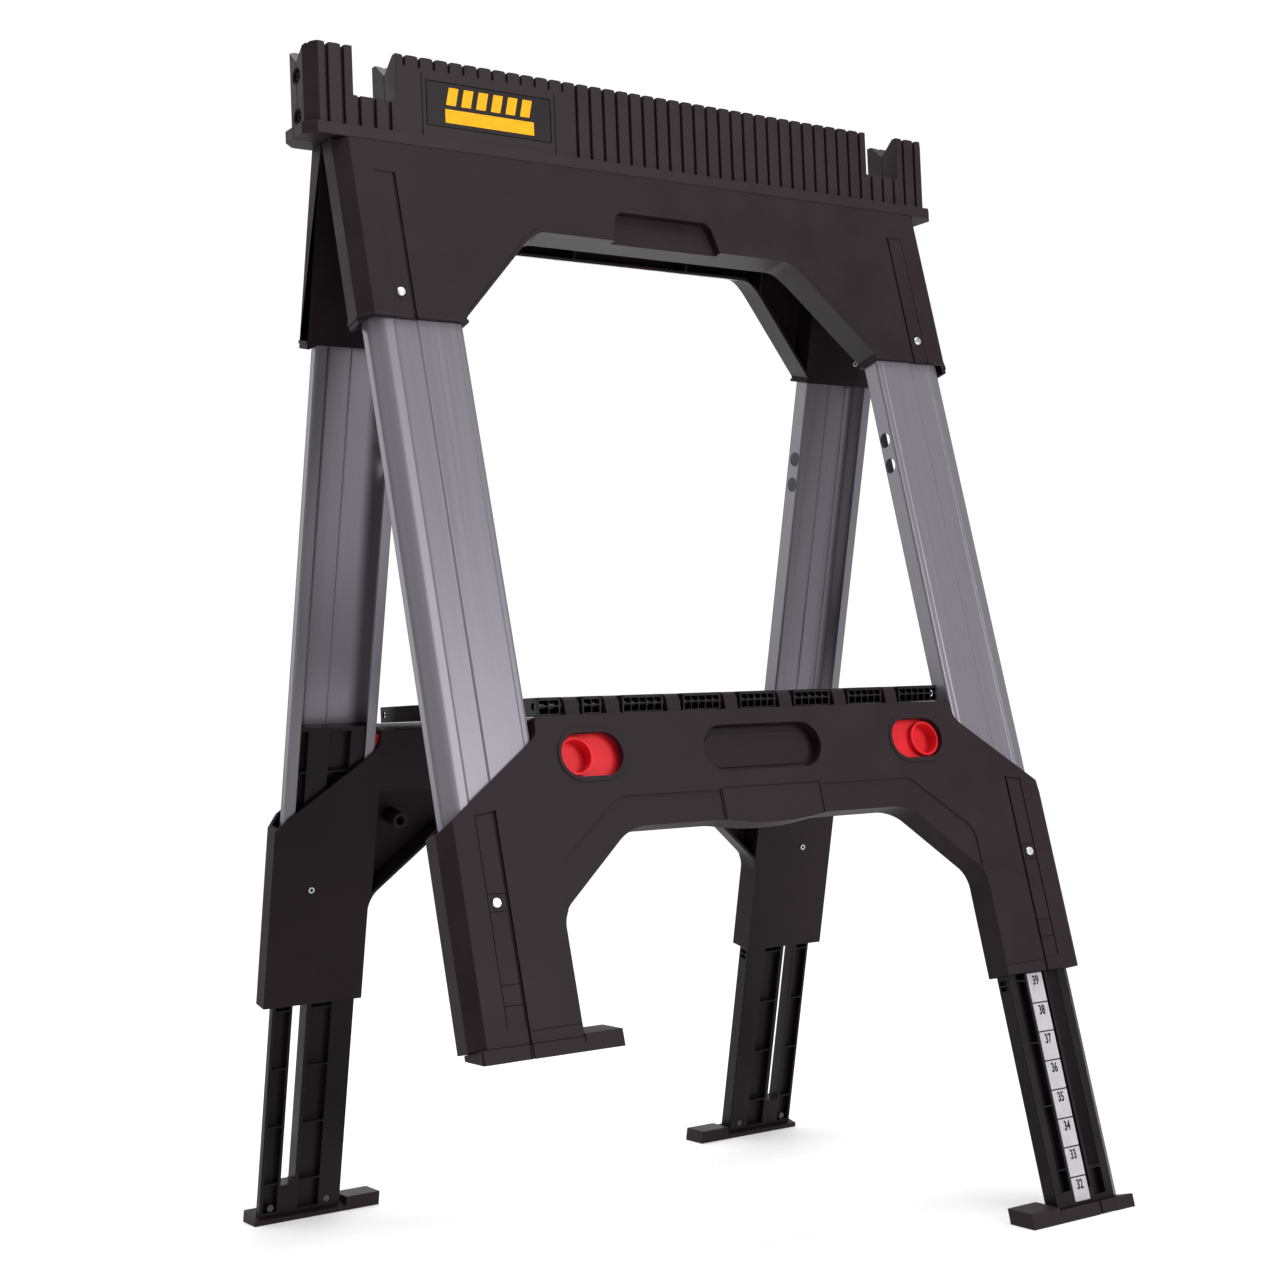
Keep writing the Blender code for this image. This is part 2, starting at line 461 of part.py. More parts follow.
for frame, matrix in (("front", TILTED), ("rear", TURNED)):
    for side in (-1, 1):
        # the rear frame is turned round Z, so its sides swap
        world_side = side if frame == "front" else -side
        tag = ("f" if frame == "front" else "r") + ("l" if world_side < 0 else "r")
        up = TRAVEL if tag == "fl" else 0.0
        mirror = side < 0

        leg = mesh_object(f"leg_{tag}", flip(along(leg_profile(), LEG_TOP, LEG_END), mirror), matrix=matrix, kind="leg_paint")
        holes = [rod("x", -13.5, -s, 6.8, *sorted((side * 210.0, side * 228.0)), 16) for s in (229.0, 254.0)]
        cut(leg, join(*holes))
        cut(leg, fbox(side * 214.0, side * 226.0, 487.5, 528.5, 8.0, 17.0))
        cut(leg, join(*[rod("y", side * RIVET_X, -s, 2.8, -40, 10, 12) for s in RIVET_S]))

        for level, s in zip(("upper", "lower"), RIVET_S):
            rivet = mesh_object(f"rivet_{level}_{tag}", rod("y", side * RIVET_X, -s, 2.5, -N_OUT - 0.3, -1.6, 8),
                                matrix=matrix, kind="zinc")
            cut(rivet, join(rod("y", side * RIVET_X, -s, 4.2, -N_OUT - 1.4, -N_OUT + 0.5 - 0.7 - 0.1, 14),
                            rod("y", side * RIVET_X, -s, 3.6, -N_IN + 0.3, -1.4, 8)), "UNION")
            smooth(rivet)

        place = matrix @ Matrix.Translation((0, 0, up / 1000))
        ext = mesh_object(f"extension_{tag}", flip(along(extension_profile(), EXT_TOP, EXT_END), mirror),
                          matrix=place, kind="black_plastic")
        pockets = []
        pitch = 53.9
        rear_edges = [EXT_TOP + 3] + [735.0 + pitch * k for k in range(-4, 4)] + [EXT_END - 3]
        for a, b in zip(rear_edges, rear_edges[1:]):
            for x0, x1 in ((283.6, 297.0), (243.4, 263.4)):
                pockets.append(fbox(side * x0, side * x1, a + 1, b - 1, 0, 14.0))
        front_edges = [EXT_TOP + 3] + [735.0 + pitch * k for k in range(-4, 4)] + [EXT_END - 12]
        for a, b in zip(front_edges, front_edges[1:]):
            pockets.append(fbox(side * 228.4, side * 240.6, a + 1, b - 1, 15.8, 40))
        pockets.append(fbox(side * 259.6, side * 264.0, EXT_TOP + 3, EXT_END - 12, 15.8, 40))
        pockets.append(fbox(side * 282.6, side * 286.6, EXT_TOP + 3, EXT_END - 12, 15.8, 40))
        cut(ext, join(*pockets))
        cut(ext, flat([(side * x, s) for x, s in ((266.8, 616), (280.2, 616), (280.2, 898), (266.8, 898))], 0, 40))
        # sockets for the foot posts and their screws
        sockets = [fbox(side * a, side * b, 905, 940, 14.6, 20.9) for a, b in ((229.1, 239.9), (286.9, 291.5))]
        cut(ext, join(*sockets))
        drills = [rod("y", side * x, -919.5, 1.6, -18, 5, 8) for x in (234.5, 289.2)]
        drills += [rod("y", side * x, -919.5, 3.7, -10.4, 5, 12) for x in (234.5, 289.2)]
        cut(ext, join(*drills[:2]))
        cut(ext, join(*drills[2:]))

        label = mesh_object(f"scale_strip_{tag}", fbox(side * 242.0, side * 258.0, 729.8, 924.5, EXT_N1 + 0.2, EXT_N1 + 0.9),
                            matrix=place, kind="label")

        # foot: level underside, a sole under the leg and a taller toe
        level = []
        for n in (30.0, 2.5):
            level.append(((HINGE_Z - 0.0 + n * math.sin(TILT)) / math.cos(TILT), n))
        toe_top = [((HINGE_Z - 12.8 + n * math.sin(TILT)) / math.cos(TILT), n) for n in (2.5, 30.0)]
        x0, x1 = sorted((side * 216.6, side * 305.5))
        sole = across([level[0], level[1], (EXT_END + 0.3, 2.5), (EXT_END + 0.3, 30.0)], x0, x1)
        foot = mesh_object(f"foot_{tag}", sole, matrix=place, kind="black_plastic")
        corner = along([(side * x, n) for x, n in ((180, -10), (180, 40), (294, 40), (312, 22), (312, -10))], 800, 1000)
        cut(foot, corner, "INTERSECT")
        t0, t1 = sorted((side * 183.5, side * 216.9))
        cut(foot, across([level[0], level[1], toe_top[0], toe_top[1]], t0, t1), "UNION")
        posts = [fbox(side * a, side * b, 906, EXT_END + 1.5, 14.9, 20.6) for a, b in ((229.4, 239.6), (287.2, 291.2))]
        cut(foot, join(*posts), "UNION")
        cut(foot, join(*[rod("y", side * x, -919.5, 1.6, -18, -10, 8) for x in (234.5, 289.2)]))
        for which, x in (("inner", 234.5), ("outer", 289.2)):
            screw = mesh_object(f"foot_screw_{which}_{tag}", rod("y", side * x, -919.5, 3.3, -10.1, -7.9, 12),
                                matrix=place, kind="steel")
            cut(screw, rod("y", side * x, -919.5, 1.3, -17.6, -9.5, 6), "UNION")
            smooth(screw)

        latch = mesh_object(f"latch_{tag}", flip(latch_shape(), mirror), matrix=matrix, kind="red_plastic")
        cut(latch, rod("y", side * 181.0, -LATCH_S, 15.4, -25.2, -17.5, 16), "UNION")
        cut(latch, rod("y", side * 181.0, -LATCH_S, 13.0, -40, -18.6, 16))
        cut(latch, fbox(side * 204.0, side * 221.2, 489.0, 527.0, 9.0, 16.0), "UNION")
        cut(latch, fbox(side * 204.0, side * 213.6, 498.0, 527.0, 15.0, 18.0), "UNION")
        cut(latch, fbox(side * 136.0, side * 138.6, 503.0, 528.0, 8.0, 18.0), "UNION")

        spring = coil_mesh(side, 108.6, 133.8, 4.2, 4, 8)
        smooth(mesh_object(f"latch_spring_{tag}", spring, matrix=matrix, kind="steel"))

    # tray panel, drawn flat about its own pin line
    panel_at = Matrix.Translation((0, -TRAY_Y / 1000, TRAY_Z / 1000))
    if frame == "rear":
        panel_at = Matrix.Rotation(math.pi, 4, "Z") @ panel_at
    pitch = 14.5
    bars = [pitch / 2 - 4.5 + 2 * pitch * k for k in range(-7, 7)]
    plan = [(-TRAY_X, -7.0)]
    for x in LUGS:
        plan += [(x - 10, -7.0), (x - 10, 9.5), (x + 10, 9.5), (x + 10, -7.0)]
    plan += [(TRAY_X, -7.0), (TRAY_X, TRAY_BODY)]
    fingers = [(x, x + 9.0) for x in bars]
    for a, b in sorted(fingers, reverse=True):
        plan += [(b, TRAY_BODY), (b, TRAY_TIP), (a, TRAY_TIP), (a, TRAY_BODY)]
    plan += [(-TRAY_X, TRAY_BODY)]
    panel = mesh_object(f"tray_panel_{frame}", prism(plan, -TRAY_T, TRAY_T, "xy"), matrix=panel_at, kind="black_plastic")
    cells = []
    edges = [-TRAY_X + 2.2] + [x for l in LUGS for x in (l - 12.2, l + 12.2)] + [TRAY_X - 2.2]
    for a, b in zip(edges[::2], edges[1::2]):
        cells.append(box(a, b, -5.0, 9.5, -12, TRAY_T - 2.4))
    for k in range(8):
        x0 = -TRAY_X + 2.2 + k * 51.5
        for y0, y1 in ((13.0, 46.0), (48.2, 81.5)):
            cells.append(box(x0 + 1, x0 + 50.3, y0, y1, -12, TRAY_T - 2.4))
    cut(panel, join(*cells))
    cut(panel, rod("x", 0, 0, 2.8, -260, 260, 8))
    smooth(mesh_object(f"tray_pin_{frame}", rod("x", -LUG_N, -LUG_S, 2.5, -206, 206, 12), matrix=matrix, kind="steel"))
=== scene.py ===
"""Looks of the folding sawhorse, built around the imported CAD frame.

A frame of legs is drawn flat in millimetres, as (x, s, n): s is the distance down the leg from the hinge pin
and n the distance out from the hinge plane. It is then tilted about the pin, as in the CAD.
"""

import json
import math

import bmesh
import bpy
from mathutils import Matrix, Vector

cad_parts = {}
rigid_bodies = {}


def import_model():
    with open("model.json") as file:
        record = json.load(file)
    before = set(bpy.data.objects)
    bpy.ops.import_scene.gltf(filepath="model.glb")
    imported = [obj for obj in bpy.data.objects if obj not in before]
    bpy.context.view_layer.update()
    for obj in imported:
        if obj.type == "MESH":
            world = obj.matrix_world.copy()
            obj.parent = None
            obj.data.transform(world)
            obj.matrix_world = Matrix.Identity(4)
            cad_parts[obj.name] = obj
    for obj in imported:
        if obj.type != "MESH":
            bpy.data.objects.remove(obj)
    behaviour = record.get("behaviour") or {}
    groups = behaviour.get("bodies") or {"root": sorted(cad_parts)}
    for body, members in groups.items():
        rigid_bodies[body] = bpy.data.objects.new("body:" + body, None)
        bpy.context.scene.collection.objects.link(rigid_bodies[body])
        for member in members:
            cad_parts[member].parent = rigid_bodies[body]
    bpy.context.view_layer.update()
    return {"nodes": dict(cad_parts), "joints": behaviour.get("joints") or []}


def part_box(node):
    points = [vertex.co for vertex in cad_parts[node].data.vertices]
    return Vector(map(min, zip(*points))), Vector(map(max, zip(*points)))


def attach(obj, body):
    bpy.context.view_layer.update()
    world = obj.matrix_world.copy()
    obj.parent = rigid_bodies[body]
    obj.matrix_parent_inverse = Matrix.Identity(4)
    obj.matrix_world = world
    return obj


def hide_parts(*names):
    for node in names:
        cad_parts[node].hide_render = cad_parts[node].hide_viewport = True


for old in list(bpy.data.objects):
    bpy.data.objects.remove(old, do_unlink=True)

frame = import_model()
scene = bpy.context.scene

# ---------------------------------------------------------------- sizes, in millimetres, from the CAD frame
hinge = next(j for j in frame["joints"] if j["name"] == "fold")
slide = next(j for j in frame["joints"] if j["name"] == "extend_front_left")
HINGE_Z = hinge["pos_m"][2] * 1000
TILT = math.radians(hinge["range_deg"][1])
TRAVEL = slide["range_m"][1] * 1000
low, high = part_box("beam_front_shell")
BEAM_HALF, BEAM_TOP = high[0] * 1000, high[2] * 1000
LIP_Y = -low[1] * 1000
BEAM_Y = LIP_Y - 4.0
LIP_Z, LIP_TOP = 915.0, 925.0  # the flange along the beam's foot
RIB_PITCH, RIB_COUNT = 13.95, 46
SLOT_X0, SLOT_X1, SLOT_Z = 252.0, 291.0, 951.0  # the timber slots
VEE_Y, VEE_Z = 15.5, 978.5  # the groove along the top
CHAMFER, SEAM = 9.5, 0.15  # the beam's cut corners, and half the gap between its halves
END_SCREW_Z = (966.5, 933.0)
HINGE_XS, EYE_R, PIN_BORE, ARM_W = (-200.0, -90.0, 90.0, 200.0), 8, 3.25, 6
N_IN, N_OUT, WALL = 3.0, 28.6, 3.0  # a bracket's inner and outer depth, and its wall
EDGE_X, FACE_X, EDGE_N, SLEEVE_X = 311.0, 300.0, 19.0, 217.0  # its side, chamfer and inner edge
UP_BOTTOM, UP_ARCH = 153.5, 62.8
LOW_TOP, LOW_BOTTOM, LOW_ARCH = 483.1, 729.0, 574.5
LEG_X0, LEG_X1, LEG_N0, LEG_N1, SHEET = 219.5, 302.0, 5.6, 25.3, 1.2
EXT_X0, EXT_X1, EXT_N0, EXT_N1, EXT_TOP, EXT_END = 221.6, 299.9, 7.5, 22.3, 480.0, 927.2
RIB_STEP = 53.9  # between the cross ribs of a sliding leg
RIVET_X, RIVET_S = 273.5, (131.2, 624.0)
FOOT_SCREW_X, FOOT_SCREW_S = {"inner": 234.5, "outer": 289.2}, 919.5
LATCH_X, LATCH_S = 168.5, 515.5  # the middle of a latch window
TRAY_Y, TRAY_Z, TRAY_T, TRAY_X, TRAY_BODY, TRAY_TIP = 128.0, 449.5, 7.0, 208.0, 84.0, 133.0
LUGS = (-177.0, -139.0, -79.5, -21.6, 35.4, 94.6, 152.7)  # the lugs on the tray's pin
LUG_S, LUG_N = 472.8, 16.9

AT_HINGE, LEAN = Matrix.Translation((0, 0, HINGE_Z / 1000)), Matrix.Rotation(-TILT, 4, "X")
TILTED = AT_HINGE @ LEAN
TURNED = AT_HINGE @ Matrix.Rotation(math.pi, 4, "Z") @ LEAN
CORNERS = {"fl": "front_left", "fr": "front_right", "rl": "rear_left", "rr": "rear_right"}


# ---------------------------------------------------------------- materials
def wire(tree, a, out, b, into):
    """Links output 'out' of node a to input 'into' of node b."""
    tree.links.new(a.outputs[out], b.inputs[into])


def new_material(name, colour, rough, metal=0.0, specular=0.5):
    """A material with its node tree and its shader."""
    made = bpy.data.materials.new(name)
    made.use_nodes = True
    shader = made.node_tree.nodes["Principled BSDF"]
    shader.inputs["Base Color"].default_value = (*colour, 1)
    shader.inputs["Roughness"].default_value = rough
    shader.inputs["Metallic"].default_value = metal
    shader.inputs["Specular IOR Level"].default_value = specular
    return made, made.node_tree, shader


def coordinates(tree, scale=(1, 1, 1)):
    """Object coordinates, stretched by scale."""
    where = tree.nodes.new("ShaderNodeTexCoord")
    mapping = tree.nodes.new("ShaderNodeMapping")
    mapping.inputs["Scale"].default_value = scale
    wire(tree, where, "Object", mapping, "Vector")
    return mapping


def noise(tree, mapping, scale, detail=2.0, rough=0.5):
    """Noise of this scale on the mapped coordinates."""
    made = tree.nodes.new("ShaderNodeTexNoise")
    made.inputs["Scale"].default_value = scale
    made.inputs["Detail"].default_value = detail
    made.inputs["Roughness"].default_value = rough
    wire(tree, mapping, "Vector", made, "Vector")
    return made


def remap(tree, source, out, low, high, to_low, to_high):
    """An output brought from low..high to to_low..to_high."""
    made = tree.nodes.new("ShaderNodeMapRange")
    for key, value in (("From Min", low), ("From Max", high), ("To Min", to_low), ("To Max", to_high)):
        made.inputs[key].default_value = value
    wire(tree, source, out, made, "Value")
    return made


def bump(tree, shader, height, out, strength, distance, edge=0.0):
    """Relief from a height, over edges softened by the radius edge."""
    made = tree.nodes.new("ShaderNodeBump")
    made.inputs["Strength"].default_value = strength
    made.inputs["Distance"].default_value = distance
    wire(tree, height, out, made, "Height")
    if edge:
        soft = tree.nodes.new("ShaderNodeBevel")
        soft.samples = 4
        soft.inputs["Radius"].default_value = edge
        wire(tree, soft, "Normal", made, "Normal")
    wire(tree, made, "Normal", shader, "Normal")


def blend_colour(tree, shader, source, out, low, high, first, second):
    """Base colour from first to second as an output goes from low to high."""
    factor = remap(tree, source, out, low, high, 0.0, 1.0)
    mix = tree.nodes.new("ShaderNodeMix")
    mix.data_type = "RGBA"
    mix.inputs["A"].default_value = (*first, 1)
    mix.inputs["B"].default_value = (*second, 1)
    wire(tree, factor, "Result", mix, "Factor")
    wire(tree, mix, "Result", shader, "Base Color")


def moulded(name, dark, light, rough, grain, depth, edge=0.0007, specular=0.16):
    """Injection-moulded plastic: an even grain, faint cloudiness and slightly worn edges."""
    made, tree, shader = new_material(name, dark, rough, specular=specular)
    spread = coordinates(tree)
    fine = noise(tree, spread, grain, 2.0, 0.6)
    cloud = noise(tree, spread, 22.0, 3.0)
    blend_colour(tree, shader, cloud, "Fac", 0.35, 0.7, dark, light)
    gloss = remap(tree, cloud, "Fac", 0.3, 0.7, rough - 0.05, rough + 0.06)
    wire(tree, gloss, "Result", shader, "Roughness")
    bump(tree, shader, fine, "Fac", 0.35, depth, edge)
    return made


def powder_coat(name):
    """Satin grey powder coat on rolled steel: orange peel and faint lines along the roll."""
    first, second = (0.172, 0.160, 0.187), (0.188, 0.176, 0.203)
    made, tree, shader = new_material(name, first, 0.34, metal=0.30, specular=0.35)
    spread = coordinates(tree)
    peel = noise(tree, spread, 900.0, 2.0)
    lines = noise(tree, coordinates(tree, (1.0, 1.0, 0.012)), 420.0, 3.0, 0.6)
    blend_colour(tree, shader, lines, "Fac", 0.3, 0.7, first, second)
    gloss = remap(tree, lines, "Fac", 0.3, 0.7, 0.29, 0.34)
    wire(tree, gloss, "Result", shader, "Roughness")
    bump(tree, shader, peel, "Fac", 0.16, 0.00012, 0.0009)
    return made


def plated(name, colour, rough):
    """Zinc-plated steel with turning marks."""
    made, tree, shader = new_material(name, colour, rough, metal=1.0)
    spread = coordinates(tree)
    mottled = noise(tree, spread, 260.0, 3.0)
    gloss = remap(tree, mottled, "Fac", 0.3, 0.7, rough - 0.08, rough + 0.12)
    wire(tree, gloss, "Result", shader, "Roughness")
    bump(tree, shader, mottled, "Fac", 0.12, 0.0001, 0.0004)
    return made


def printed(name, colour, rough):
    """A printed surface: a little uneven in tone."""
    made, tree, shader = new_material(name, colour, rough, specular=0.12)
    cloud = noise(tree, coordinates(tree), 150.0, 3.0)
    worn = tuple(min(1.0, c * 0.86) for c in colour)
    blend_colour(tree, shader, cloud, "Fac", 0.3, 0.75, colour, worn)
    bump(tree, shader, cloud, "Fac", 0.08, 0.00006)
    return made


LOOK = {
    "grained": moulded("bracket_plastic", (0.0120, 0.0062, 0.0078), (0.0165, 0.0092, 0.0112),
                       0.55, 620.0, 0.00060),
    "beam": moulded("beam_plastic", (0.0185, 0.0108, 0.0135), (0.0235, 0.0145, 0.0175),
                    0.46, 1200.0, 0.00014, specular=0.15),
    "plain": moulded("slider_plastic", (0.0062, 0.0040, 0.0048), (0.0090, 0.0060, 0.0070),
                     0.40, 1800.0, 0.00008),
    "polished": moulded("polished_plastic", (0.0100, 0.0070, 0.0085), (0.0140, 0.0100, 0.0120),
                        0.32, 1800.0, 0.00004, specular=0.42),
    "dark": moulded("groove_plastic", (0.0040, 0.0034, 0.0034), (0.0055, 0.0048, 0.0048),
                    0.60, 1800.0, 0.00008),
    "red": moulded("latch_plastic", (0.62, 0.012, 0.020), (0.70, 0.016, 0.024),
                   0.40, 1600.0, 0.00008, 0.0006),
    "paint": powder_coat("leg_powder_coat"),
    "zinc": plated("zinc_plate", (0.72, 0.73, 0.76), 0.36),
    "steel": plated("plated_steel", (0.42, 0.42, 0.44), 0.36),
    "black_screw": plated("blackened_screw", (0.085, 0.083, 0.088), 0.36),
    "label": printed("label_film", (0.44, 0.415, 0.45), 0.46),
    "ink": printed("label_ink", (0.010, 0.009, 0.010), 0.50),
    "yellow": printed("badge_yellow", (0.92, 0.43, 0.002), 0.38),
}


# ---------------------------------------------------------------- shapes
def shape_of(bm):
    """The mesh of a bmesh, turned to face out; the bmesh is freed."""
    if bm.calc_volume(signed=True) < 0:
        bmesh.ops.reverse_faces(bm, faces=bm.faces)
    mesh = bpy.data.meshes.new("shape")
    bm.to_mesh(mesh)
    bm.free()
    return mesh


def prism(poly, low, high, plane):
    """A flat outline pulled out from low to high. plane 'xy' rises along z, 'xz' along y, 'yz' along x."""
    curve = bpy.data.curves.new("outline", "CURVE")
    curve.dimensions, curve.fill_mode = "2D", "BOTH"
    curve.extrude = (high - low) / 2000
    line = curve.splines.new("POLY")
    line.points.add(len(poly) - 1)
    for point, (u, v) in zip(line.points, poly):
        point.co = (u / 1000, v / 1000, 0, 1)
    line.use_cyclic_u = True
    drawn = bpy.data.objects.new("outline", curve)
    mesh = bpy.data.meshes.new_from_object(drawn)
    bm = bmesh.new()
    bm.from_mesh(mesh)
    bpy.data.objects.remove(drawn)
    bpy.data.curves.remove(curve)
    bpy.data.meshes.remove(mesh)
    bmesh.ops.remove_doubles(bm, verts=bm.verts, dist=1e-6)
    middle = (high + low) / 2000
    bm.transform({
        "xy": Matrix.Translation((0, 0, middle)),
        "xz": Matrix(((1, 0, 0, 0), (0, 0, 1, middle), (0, 1, 0, 0), (0, 0, 0, 1))),
        "yz": Matrix(((0, 0, 1, middle), (1, 0, 0, 0), (0, 1, 0, 0), (0, 0, 0, 1))),
    }[plane])
    bmesh.ops.recalc_face_normals(bm, faces=bm.faces)
    return shape_of(bm)


def flat(poly, n0, n1):
    """An outline of a frame: poly in (x, s), from n0 to n1. Frame axes are (x, -n, -s)."""
    return prism([(x, -s) for x, s in poly], -n1, -n0, "xz")


def along(poly, s0, s1):
    """poly in (x, n), drawn down the leg from s0 to s1."""
    return prism([(x, -n) for x, n in poly], -s1, -s0, "xy")


def across(poly, x0, x1):
    """poly in (s, n), drawn along x."""
    return prism([(-n, -s) for s, n in poly], x0, x1, "yz")


def box(x0, x1, y0, y1, z0, z1):
    """A box in world axes."""
    x0, x1 = sorted((x0, x1))
    y0, y1 = sorted((y0, y1))
    bm = bmesh.new()
    sides = Matrix.Diagonal(((x1 - x0) / 1000, (y1 - y0) / 1000, (z1 - z0) / 1000, 1))
    middle = Matrix.Translation(((x0 + x1) / 2000, (y0 + y1) / 2000, (z0 + z1) / 2000))
    bmesh.ops.create_cube(bm, size=1.0, matrix=middle @ sides)
    return shape_of(bm)


def fbox(x0, x1, s0, s1, n0, n1):
    """A box in the axes of a frame."""
    return box(x0, x1, -n1, -n0, -s1, -s0)


def rod(axis, cx, cy, r, low, high, count=32, r2=None):
    """A round bar along x or y, with r2 at its high end; cx and cy are the other two coordinates in order."""
    bm = bmesh.new()
    turn = Matrix.Rotation(math.pi / 2, 4, "Y") if axis == "x" else Matrix.Rotation(-math.pi / 2, 4, "X")
    middle = (low + high) / 2000
    at = (middle, cx / 1000, cy / 1000) if axis == "x" else (cx / 1000, middle, cy / 1000)
    bmesh.ops.create_cone(bm, cap_ends=True, segments=count, radius1=r / 1000, radius2=(r2 or r) / 1000,
                          depth=(high - low) / 1000, matrix=Matrix.Translation(at) @ turn)
    return shape_of(bm)


def oval(cx, cs, half_w, half_h, count=16):
    """A slot shape with round ends."""
    d = half_w - half_h
    right = [(cx + d + half_h * math.cos(t), cs + half_h * math.sin(t)) for t in
             [math.pi * (i / count - 0.5) for i in range(count + 1)]]
    return right + [(2 * cx - x, 2 * cs - s) for x, s in right]


def arc_points(cx, cy, r, angles):
    """The points at these angles on a circle."""
    return [(cx + r * math.cos(t), cy + r * math.sin(t)) for t in angles]


def rounded(poly, radius, count=5):
    """A polygon with its corners rounded; radius is one number or one for each corner."""
    radii = radius if isinstance(radius, (list, tuple)) else [radius] * len(poly)
    made = []
    for i, (x, y) in enumerate(poly):
        here = Vector((x, y))
        before, after = Vector(poly[i - 1]) - here, Vector(poly[(i + 1) % len(poly)]) - here
        reach = min(radii[i], before.length * 0.45, after.length * 0.45)
        if reach < 0.05:
            made.append((x, y))
            continue
        a, b = here + before.normalized() * reach, here + after.normalized() * reach
        for k in range(count + 1):
            t = k / count
            point = a * (1 - t) ** 2 + here * 2 * t * (1 - t) + b * t ** 2
            made.append((point.x, point.y))
    return made


def join(*shapes):
    """The shapes as one mesh, which uses them up."""
    bm = bmesh.new()
    for shape in shapes:
        bm.from_mesh(shape)
        bpy.data.meshes.remove(shape)
    return shape_of(bm)


def mirrored(mesh):
    """A copy for the other hand."""
    bm = bmesh.new()
    bm.from_mesh(mesh)
    bm.transform(Matrix.Diagonal((-1, 1, 1, 1)))
    bmesh.ops.reverse_faces(bm, faces=bm.faces)
    made = bpy.data.meshes.new(mesh.name + "_mirrored")
    bm.to_mesh(made)
    bm.free()
    return made


def carve(shape, steps, soft=0.0, segments=2, angle=32.0):
    """The shape after each (operation, tool) in turn, with its sharp edges rounded by soft millimetres."""
    base = bpy.data.objects.new("base", shape)
    scene.collection.objects.link(base)
    tools = []
    for operation, tool in steps:
        holder = bpy.data.objects.new("tool", tool)
        scene.collection.objects.link(holder)
        tools.append(holder)
        change = base.modifiers.new("cut", "BOOLEAN")
        change.operation, change.solver, change.object = operation, "EXACT", holder
        change.use_self = operation == "UNION"
    graph = bpy.context.evaluated_depsgraph_get()
    graph.update()
    mesh = bpy.data.meshes.new_from_object(base.evaluated_get(graph))
    for item in [base] + tools:
        bpy.data.objects.remove(item)
    bm = bmesh.new()
    bm.from_mesh(mesh)
    bmesh.ops.remove_doubles(bm, verts=bm.verts, dist=2e-5)
    bmesh.ops.dissolve_limit(bm, angle_limit=math.radians(0.4), verts=bm.verts, edges=bm.edges)
    if soft:
        limit = math.radians(angle)
        sharp = [e for e in bm.edges if len(e.link_faces) == 2 and e.calc_face_angle(0.0) > limit]
        bmesh.ops.bevel(bm, geom=sharp, offset=soft / 1000, offset_type="OFFSET", segments=segments,
                        profile=0.5, affect="EDGES", clamp_overlap=False)
        bmesh.ops.remove_doubles(bm, verts=bm.verts, dist=1e-5)
    bm.to_mesh(mesh)
    bm.free()
    return mesh


def piece(name, mesh, look, body, matrix=None, slot=None, replaces=(), smooth=30.0):
    """One visible piece: named, finished, placed and riding on its body."""
    if mesh.users or matrix is not None:
        mesh = mesh.copy()
    mesh.name = name
    mesh.materials.clear()
    mesh.materials.append(LOOK[look])
    obj = bpy.data.objects.new(name, mesh)
    scene.collection.objects.link(obj)
    mesh.shade_smooth()
    mesh.set_sharp_from_angle(angle=math.radians(smooth))
    even = obj.modifiers.new("even", "WEIGHTED_NORMAL")
    even.keep_sharp = True
    if matrix is not None and look == "paint":
        obj.matrix_world = matrix  # the roll lines of the steel follow the leg
    elif matrix is not None:
        mesh.transform(matrix)
    bpy.context.view_layer.update()
    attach(obj, body)
    if replaces:
        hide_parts(*replaces)
    return obj


CUT, ADD, KEEP = "DIFFERENCE", "UNION", "INTERSECT"


# ---------------------------------------------------------------- beam
def rib_xs():
    """The middles of the grooves between the ribs."""
    return [(k - (RIB_COUNT - 1) / 2) * RIB_PITCH for k in range(RIB_COUNT)]


GROOVE = ((-2.0, 0), (-1.4, 0.3), (-1.2, 0.9), (-1.2, 3.2), (1.2, 3.2), (1.2, 0.9), (1.4, 0.3), (2.0, 0))


def half_plan(sign, end, width, grooves=()):
    """Half of the beam from above: flat end chamfers, and narrow grooves with rounded lips in the face."""
    pts = [(-end, sign * SEAM), (-end, sign * (width - CHAMFER)), (-end + CHAMFER, sign * width)]
    for x in grooves:
        pts += [(x + dx, sign * (width - dy)) for dx, dy in GROOVE]
    return pts + [(end - CHAMFER, sign * width), (end, sign * (width - CHAMFER)), (end, sign * SEAM)]


def crest_tool():
    """What is taken off above the scalloped crests of the ribs."""
    top = BEAM_TOP
    pts = [(-BEAM_HALF, top + 5)]
    xs = rib_xs()
    edges = [xs[0] - RIB_PITCH] + xs + [xs[-1] + RIB_PITCH]
    for a, b in zip(edges, edges[1:]):
        for k in range(9):
            t = k / 8
            pts.append((a + (b - a) * t, top - 0.03 - 1.9 * abs(2 * t - 1) ** 5))
    pts = [p for i, p in enumerate(pts) if i == 0 or abs(p[0] - pts[i - 1][0]) > 1e-6 or i == 1]
    return prism(pts + [(BEAM_HALF, top + 5)], -60, 60, "xz")


